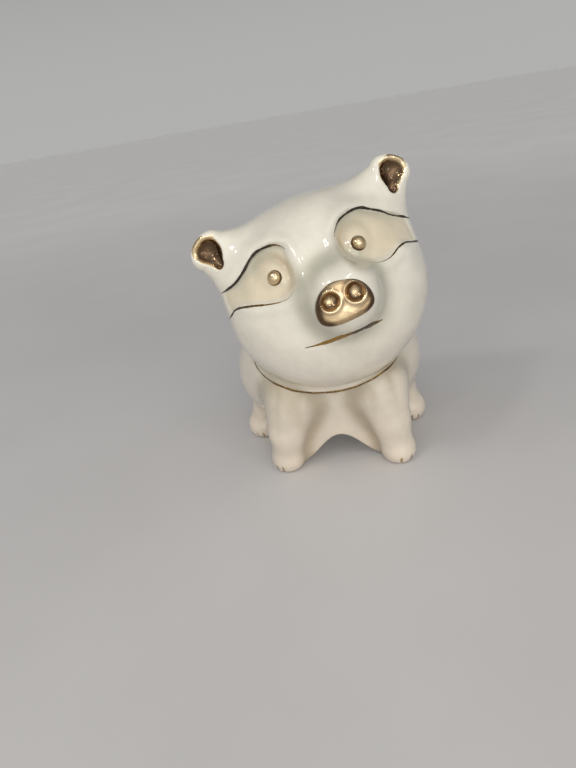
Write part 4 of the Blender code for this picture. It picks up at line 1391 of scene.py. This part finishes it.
@dataclass(frozen=True)
class BodyCasting:
    """The hollow body on its four feet, with the coin slot, the stopper's hole and gilded toe notches."""

    form: PigForm
    skinner: Skinner = Skinner()
    low: Triple = (-56.0, -36.0, -4.0)
    high: Triple = (57.0, 63.0, 86.0)

    def build(self, glaze: Material) -> Piece:
        """Make the body and dress it in glaze."""
        points, faces = self.skinner.skin(self.form.body_casting, self.low, self.high)
        sole = 1.0 - ease(points[:, 2], 0.3, 0.9)
        piece = make_piece("glazed_body", points, faces, glaze, {
            # Glaze pooling and painted shade darken the body's hollows and folds.
            "gilt": self.form.body.notches(points) - 0.2, "pool": self.form.pool_and_shade_share(points),
            "bare": np.maximum(self.form.bare(points), sole)})
        return ride_on_pig(piece, "ivory_glaze", "body_casting")


@dataclass(frozen=True)
class Snout:
    """The gold snout plate with its two nostrils."""

    form: PigForm
    skinner: Skinner = Skinner(voxel=0.3)
    low: Triple = (-13.0, -8.0, -5.0)
    high: Triple = (13.0, 13.0, 6.0)

    def build(self, gold: Material) -> Piece:
        """Make the plate and dress it in gold."""
        snout = self.form.snout
        points, faces = self.skinner.skin(snout.distance, self.low, self.high)
        x, z, out = points.T
        edge = snout.outline(x, z)
        # Painted dark reflections along the plate's sides and in a ring inside each bowl; painted highlights
        # in its middle, along its top rim, round each bowl's rim and as a spot in each bowl.
        dark = 0.95 * ease(edge, -4.6, -0.6) * (0.25 + 0.75 * ease(np.abs(x), 4.0, 8.5))
        shine = np.maximum(bump(x, 0.4, 5.5) * bump(z, -0.2, 2.2),
                           0.9 * bump(edge, -0.7, 0.8) * ease(z, 4.5, 8.0))
        for across, up, radius in snout.nostrils:
            reach = np.hypot(x - across, z - up)
            around = np.arctan2(z - up, x - across)
            ring = radius * (1.0 + 0.10 * np.sin(2.0 * around + across) + 0.05 * np.sin(5.0 * around + 1.0))
            dark = np.maximum(dark * (reach > radius), 0.75 * bump(reach, ring - 0.8, 1.2))
            shine = np.maximum(shine, bump(reach, ring + 0.9, 0.8) * (0.6 + 0.4 * np.sin(around + 2.2)))
            painted_glint = np.hypot(x - across + 0.5, z - up - 0.4)
            shine = np.maximum(shine, 0.5 * (1.0 - ease(painted_glint, 0.1, 0.6 * radius)))
        placed = self.form.head.to_pig(points @ snout.axes() + snout.centre)
        piece = make_piece("gold_snout", placed, faces, gold, {"pool": dark, "shine": shine})
        return ride_on_pig(piece, "gold_lustre", "snout_plate")


@dataclass(frozen=True)
class Pupil:
    """A gold bead laid on an eyeball, its profile given in radii."""

    form: PigForm
    side: Side
    turn: float
    up: float
    radius: float = 2.75
    sides: int = 48
    profile: tuple[Pair, ...] = (
        (0.0, -0.9), (0.7, -0.9), (1.06, -0.8), (1.12, -0.04), (1.06, 0.06), (1.0, 0.16), (0.95, 0.33),
        (0.85, 0.53), (0.68, 0.70), (0.46, 0.81), (0.22, 0.87), (0.0, 0.885))

    def build(self, gold: Material) -> Piece:
        """Make the bead, with a little gold run out round its foot, a painted dark reflection low on it and
        a painted highlight over its top.
        """
        points, faces = lathe(np.array(self.profile) * self.radius, self.sides)
        head = self.form.head
        centre = head.spot(np.array([self.turn]), np.array([self.up]))
        out = outward(head.distance, centre, 0.6)[0]
        across = np.cross((0.0, 0.0, 1.0), out)
        across /= np.linalg.norm(across)
        placed = centre + points @ np.stack([across, np.cross(out, across), out])
        # Painted dark reflection low on the bead, painted highlight over its top.
        low = 1.0 - ease(points[:, 2] / self.radius, 0.0, 0.55)
        label = self.side.name.lower() + "_pupil"
        piece = make_piece("gold_" + label, placed, faces, gold,
                           {"pool": 0.9 * low, "shine": 0.5 * (1.0 - low)})
        return ride_on_pig(piece, "gold_lustre", label)


@dataclass(frozen=True)
class Tail:
    """A rolled clay tail with one open curl, flared where it is luted to the rump."""

    root: Triple = (0.0, 55.0, 50.0)
    radius: float = 3.0
    tip_radius: float = 1.6
    coil_radius: float = 5.5
    turns: float = 1.15
    reach: float = 10.5
    flare: float = 1.3
    flare_y: float = 57.8
    flare_width: float = 1.1
    steps: int = 120
    sides: int = 28

    def build(self, glaze: Material) -> Piece:
        """Roll the tail and dress it in glaze."""
        t = np.linspace(0.0, 1.0, self.steps)
        turn = math.tau * self.turns * ease(t, 0.05, 1.0)
        out = self.coil_radius * ease(t, 0.15, 0.5)
        path = np.stack([out * np.sin(turn), self.root[1] + self.reach * (1.0 - (1.0 - t) ** 1.8),
                         self.root[2] + out * (1.0 - np.cos(turn))], 1)
        radii = self.radius + (self.tip_radius - self.radius) * t
        radii = radii + self.flare * bump(path[:, 1], self.flare_y, self.flare_width) * (t < 0.4)
        run = run_along(path)
        short = np.clip(1.0 - (run[-1] - run) / self.tip_radius, 0.0, 1.0)
        radii = radii * np.sqrt(np.clip(1.0 - np.square(short), 0.004, 1.0))
        points, faces = sweep(path, radii, self.sides)
        piece = make_piece("glazed_tail", points, faces, glaze, {
            # Glaze pooling and painted shade darken the tail where it meets the rump.
            "gilt": np.full(len(points), FAR), "pool": 0.45 * (1.0 - ease(points[:, 1], 57.0, 60.5))})
        return ride_on_pig(piece, "ivory_glaze", "tail")


@dataclass(frozen=True)
class Stopper:
    """The rubber stopper under the belly: a flange with a finger dimple and a tapered plug."""

    land_height: float = 15.0
    gap: float = 0.3
    sides: int = 96
    profile: tuple[Pair, ...] = (
        (0.0, -0.9), (1.6, -0.95), (2.4, -1.25), (3.0, -1.8), (3.6, -2.0), (8.4, -2.0), (8.8, -1.9),
        (9.0, -1.7), (9.5, -1.7), (9.7, -1.9), (10.1, -2.0), (14.6, -2.0), (15.3, -1.85), (15.8, -1.45),
        (16.0, -1.0), (15.9, -0.5), (15.6, -0.12), (15.2, 0.0), (11.9, 0.0), (11.65, 0.2), (11.6, 1.2),
        (11.75, 1.9), (11.95, 2.6), (12.0, 4.6), (11.8, 5.2), (11.2, 6.2), (10.9, 6.75), (10.2, 7.0),
        (7.9, 7.0), (7.4, 6.6), (7.1, 5.8), (6.5, 5.5), (0.0, 5.4))

    def build(self, rubber: Material) -> Piece:
        """Mould the stopper and seat it in its hole."""
        points, faces = lathe(np.array(self.profile), self.sides)
        points = points + (0.0, STOPPER_FROM_NOSE, self.land_height - self.gap)
        piece = make_piece("rubber_stopper", points, faces, rubber)
        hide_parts("stopper")
        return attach(piece, "stopper")


def brushed(name: str, path: Array, radii: Array, along: Array, paint: LinePaint,
            **shape: object) -> Piece:
    """Brush a line of lustre onto the pig.

    Args:
        name: The line's name.
        path: Points along its middle.
        radii: Half its width at each point.
        along: How far each point is from its start, up to 1 at its end.
        paint: Its finish.
        shape: What else the sweep takes.

    Returns:
        The line, which moves with the pig.
    """
    points, faces = sweep(path, radii, LINE_SIDES, **shape)
    piece = make_piece(name, points, faces, paint.material(name + "_lustre"),
                       {"along": np.repeat(along, LINE_SIDES)})
    return ride_on_pig(piece, "gold_lustre")


@dataclass(frozen=True)
class FaceLine:
    """A brushed line on the face: stations as degrees round from the nose and height on the head."""

    name: str
    stations: tuple[Pair, ...]
    paint: LinePaint
    width: float = 1.1
    height: float = 0.15
    start_taper: float = 0.2
    end_taper: float = 0.25
    spacing: float = 0.35
    smoothing: int = 6

    def build(self, form: PigForm) -> Piece:
        """Lay the line on the skin."""
        turn, up = smooth_curve(self.stations, 10).T
        path = form.head.spot(turn, up)
        run = run_along(path)
        even = np.linspace(0.0, run[-1], int(run[-1] / self.spacing))
        path = np.stack([np.interp(even, run, path[:, k]) for k in range(3)], 1)
        for _ in range(self.smoothing):
            path[1:-1] = 0.5 * path[1:-1] + 0.25 * (path[:-2] + path[2:])
        path = Skinner().settle(form.head.distance, path, 2)
        t = even / even[-1]
        full = ease(t, -0.02, self.start_taper) * (1.0 - ease(t, 1.0 - self.end_taper, 1.02))
        brush = 1.0 + 0.10 * np.sin(even * 0.9) + 0.06 * np.sin(even * 2.3 + 1.0)
        radii = 0.5 * self.width * (0.12 + 0.88 * full) * brush
        return brushed(self.name, path, radii, t, self.paint, flat=2.0 * self.height / self.width,
                       up=outward(form.head.distance, path, 0.3))


@dataclass(frozen=True)
class NeckLine:
    """The gold line brushed round the neck, over the joint of head and body."""

    form: PigForm
    # Its stops are painted reflections: golden-brown along the whole line.
    paint: LinePaint = LinePaint(stops=((0.0, 0.55), (0.45, 0.35), (0.5, 0.6), (1.0, 0.5)))
    radius: float = 0.8
    drop: float = 1.8
    steps: int = 420
    smoothing: int = 60

    def build(self) -> Piece:
        """Lay the line on the neck roll's lower edge, and in the crease where the body covers that edge."""
        neck = self.form.head.neck
        angle = np.arange(self.steps) * math.tau / self.steps
        girth = math.sqrt(1.0 - (self.drop / neck.radii[2]) ** 2)
        ring = np.stack([girth * neck.radii[0] * np.sin(angle), -girth * neck.radii[1] * np.cos(angle),
                         np.full(self.steps, -self.drop)], 1)
        edge = ring @ turned(*neck.turn).T + neck.centre
        buried = np.maximum(ease(-self.form.body.distance(edge), -0.6, 0.6),
                            ease(-self.form.head.distance(edge), 0.8, 1.6))[:, None]
        path = edge + buried * (self.form.crease(edge) - edge)
        for _ in range(self.smoothing):
            path = 0.5 * path + 0.25 * (np.roll(path, 1, 0) + np.roll(path, -1, 0))
        brush = 1.0 + 0.10 * np.sin(9.0 * angle) + 0.07 * np.sin(23.0 * angle + 0.7)
        return brushed("neck_line", path, self.radius * brush, angle / math.tau, self.paint, closed=True)


# ---- where it stands --------------------------------------------------------------------------------


@dataclass(frozen=True)
class Lamp:
    """A soft round lamp that looks at a place on the pig."""

    name: str
    place: Triple
    size: float
    watts: float
    colour: Colour = (1.0, 1.0, 1.0)
    target: Triple = (0.0, 0.0, 70.0)
    mirrored: bool = True

    def build(self) -> None:
        """Hang the lamp, which only shows in the glaze if it is mirrored."""
        light = bpy.data.lights.new(self.name, "AREA")
        light.shape = "DISK"
        light.size, light.energy, light.color = self.size, self.watts, self.colour
        item = show(self.name, light)
        item.visible_glossy = self.mirrored
        place, target = in_frame(self.place), in_frame(self.target)
        facing = (target - place).to_track_quat("-Z", "Y").to_matrix().to_4x4()
        item.matrix_world = Matrix.Translation(place) @ facing


@dataclass(frozen=True)
class Studio:
    """A plain pale floor, soft light from above and in front, and the camera."""

    floor_radius: float = 12.0
    floor_sides: int = 48
    eye: Triple = (8.92, -268.03, 167.98)
    yaw: float = 6.484
    pitch: float = -25.386
    roll: float = -9.878
    lens: float = 27.194
    nearest: float = 0.01
    lamps: tuple[Lamp, ...] = (
        Lamp("key_lamp", (-380.0, -420.0, 760.0), 0.10, 0.75, (1.0, 0.985, 0.96)),
        Lamp("front_lamp", (60.0, -900.0, 330.0), 0.50, 1.7, (1.0, 0.99, 0.97), mirrored=False),
        Lamp("near_lamp", (-170.0, -400.0, 420.0), 0.035, 0.10, (1.0, 0.97, 0.92)),
        Lamp("small_lamp", (150.0, -330.0, 560.0), 0.03, 0.10, (1.0, 0.98, 0.95)),
        Lamp("left_lamp", (360.0, -420.0, 330.0), 0.03, 0.09, (1.0, 0.98, 0.95)),
        Lamp("right_lamp", (-430.0, -250.0, 560.0), 0.04, 0.11, (1.0, 0.98, 0.95)))
    sky_low: float = 0.24
    sky_high: float = 0.20
    sky_lobes: tuple[tuple[Triple, float, float], ...] = (
        ((0.05, -0.78, 0.62), 2.2, 0.72), ((0.28, -0.93, 0.22), 10.0, 1.3))
    sky_colour: Colour = (1.0, 0.995, 0.985)
    glow: float = 0.20
    glow_width: float = 0.55

    def floor(self) -> None:
        """Lay the floor under the feet."""
        level = CAD_BOX[0][2]
        ring = [(self.floor_radius * math.cos(a), self.floor_radius * math.sin(a), level)
                for a in np.arange(self.floor_sides) * math.tau / self.floor_sides]
        mesh = bpy.data.meshes.new("floor")
        mesh.from_pydata(ring, [], [list(range(self.floor_sides))])
        mesh.materials.append(PlainPaint().material("pale_floor"))
        show("floor", mesh)

    def sky(self) -> None:
        """Surround the stage with soft light that is paler above and dimmer low down in front."""
        world = bpy.data.worlds.new("studio")
        bpy.context.scene.world = world
        world.use_nodes = True
        wires = Wires(world.node_tree, "Generated")
        height = wires.axis(2)
        total = wires.maths(Sum.ADD, wires.span(height, 0.0, 1.0, self.sky_low, self.sky_high, Rise.EVEN),
                            wires.span(height, 0.0, self.glow_width, self.glow, 0.0, Rise.SOFTER))
        for middle, spread, strength in self.sky_lobes:
            facing = wires.node("VectorMath", {0: wires.place, 1: tuple(Vector(middle).normalized())},
                                operation="DOT_PRODUCT").outputs["Value"]
            lobe = wires.maths(Sum.POWER, wires.maths(Sum.MAXIMUM, facing, 0.0), spread)
            total = wires.maths(Sum.ADD, total, wires.part(lobe, strength))
        background = world.node_tree.nodes["Background"]
        wires.feed(background.inputs["Strength"], total)
        wires.feed(background.inputs["Color"], self.sky_colour)

    def camera(self) -> None:
        """Stand the camera in front, above and a little to the pig's left, rolled."""
        data = bpy.data.cameras.new("camera")
        data.lens = self.lens
        data.clip_start = self.nearest
        item = show("camera", data)
        turn = (Matrix.Rotation(math.radians(self.yaw), 4, "Z")
                @ Matrix.Rotation(math.radians(90.0 + self.pitch), 4, "X")
                @ Matrix.Rotation(math.radians(self.roll), 4, "Z"))
        item.matrix_world = Matrix.Translation(in_frame(self.eye)) @ turn
        bpy.context.scene.camera = item

    def build(self) -> None:
        """Set up floor, light and camera."""
        self.floor()
        self.sky()
        self.camera()
        for lamp in self.lamps:
            lamp.build()
        bpy.context.scene.view_settings.view_transform = "Standard"
        LOG.info("studio: %d lamps", len(self.lamps))


# Each line's paint stops give painted reflections: golden where it reflects light, dark elsewhere.
FACE_LINES = (
    FaceLine("left_brow_line",
             ((15.0, 28.9), (20.5, 31.4), (28.0, 33.0), (38.5, 33.5), (47.5, 33.4), (54.0, 32.5),
              (58.5, 30.6), (63.0, 28.2), (68.5, 24.4), (73.0, 21.7), (79.5, 18.3), (87.5, 16.2)),
             LinePaint(((0.0, 0.10), (0.12, 0.0), (0.9, 0.05), (1.0, 0.0)))),
    FaceLine("left_lid_line",
             ((81.5, 6.5), (69.0, 9.8), (59.0, 12.9), (51.0, 13.7), (44.0, 13.1), (38.0, 12.8), (31.5, 13.6),
              (25.5, 15.4)),
             LinePaint(((0.0, 0.0), (0.35, 0.05), (0.7, 0.5), (1.0, 0.7))), 1.0,
             start_taper=0.15, end_taper=0.6),
    FaceLine("right_brow_line",
             ((-24.5, 31.6), (-28.0, 32.8), (-34.0, 34.0), (-42.0, 34.1), (-52.5, 33.4), (-57.5, 31.5),
              (-61.0, 28.7), (-65.0, 26.3), (-70.0, 24.0), (-78.5, 21.6), (-86.0, 20.0)),
             LinePaint(((0.0, 0.7), (0.12, 0.55), (0.25, 0.05), (1.0, 0.0))), 1.2),
    FaceLine("right_lid_line",
             ((-85.0, 8.0), (-76.5, 11.3), (-73.0, 13.2), (-65.0, 14.9), (-53.5, 15.4), (-42.5, 15.0),
              (-34.0, 14.8), (-28.0, 15.5), (-23.5, 17.8)),
             LinePaint(((0.0, 0.0), (0.3, 0.1), (0.5, 0.6), (1.0, 0.75))), 1.0,
             start_taper=0.15, end_taper=0.5),
    FaceLine("mouth_line",
             ((-29.5, -6.3), (-23.5, -6.5), (-14.0, -6.5), (-5.0, -5.5), (3.0, -5.4), (9.5, -6.1),
              (16.5, -7.4), (19.5, -7.6)),
             LinePaint(((0.0, 0.55), (0.2, 0.95), (0.48, 0.9), (0.62, 0.12), (0.82, 0.3), (1.0, 0.75))),
             3.3, 0.42, 0.5, 0.2),
)


def main() -> None:
    """Build every piece in order."""
    logging.basicConfig(level=logging.INFO, format="%(name)s: %(message)s")
    form = PigForm()
    Studio().build()
    glaze = IvoryGlaze().material("ivory_glaze_fired")
    gold = GoldLustre().material("gold_lustre_fired")
    HeadCasting(form).build(glaze)
    BodyCasting(form).build(glaze)
    Snout(form).build(gold)
    Pupil(form, Side.LEFT, 27.2, 23.3).build(gold)
    Pupil(form, Side.RIGHT, -35.4, 23.7).build(gold)
    Tail().build(glaze)
    Stopper().build(GreyRubber().material("grey_rubber_moulded"))
    for line in FACE_LINES:
        line.build(form)
    NeckLine(form).build()


if __name__ == "__main__":
    main()
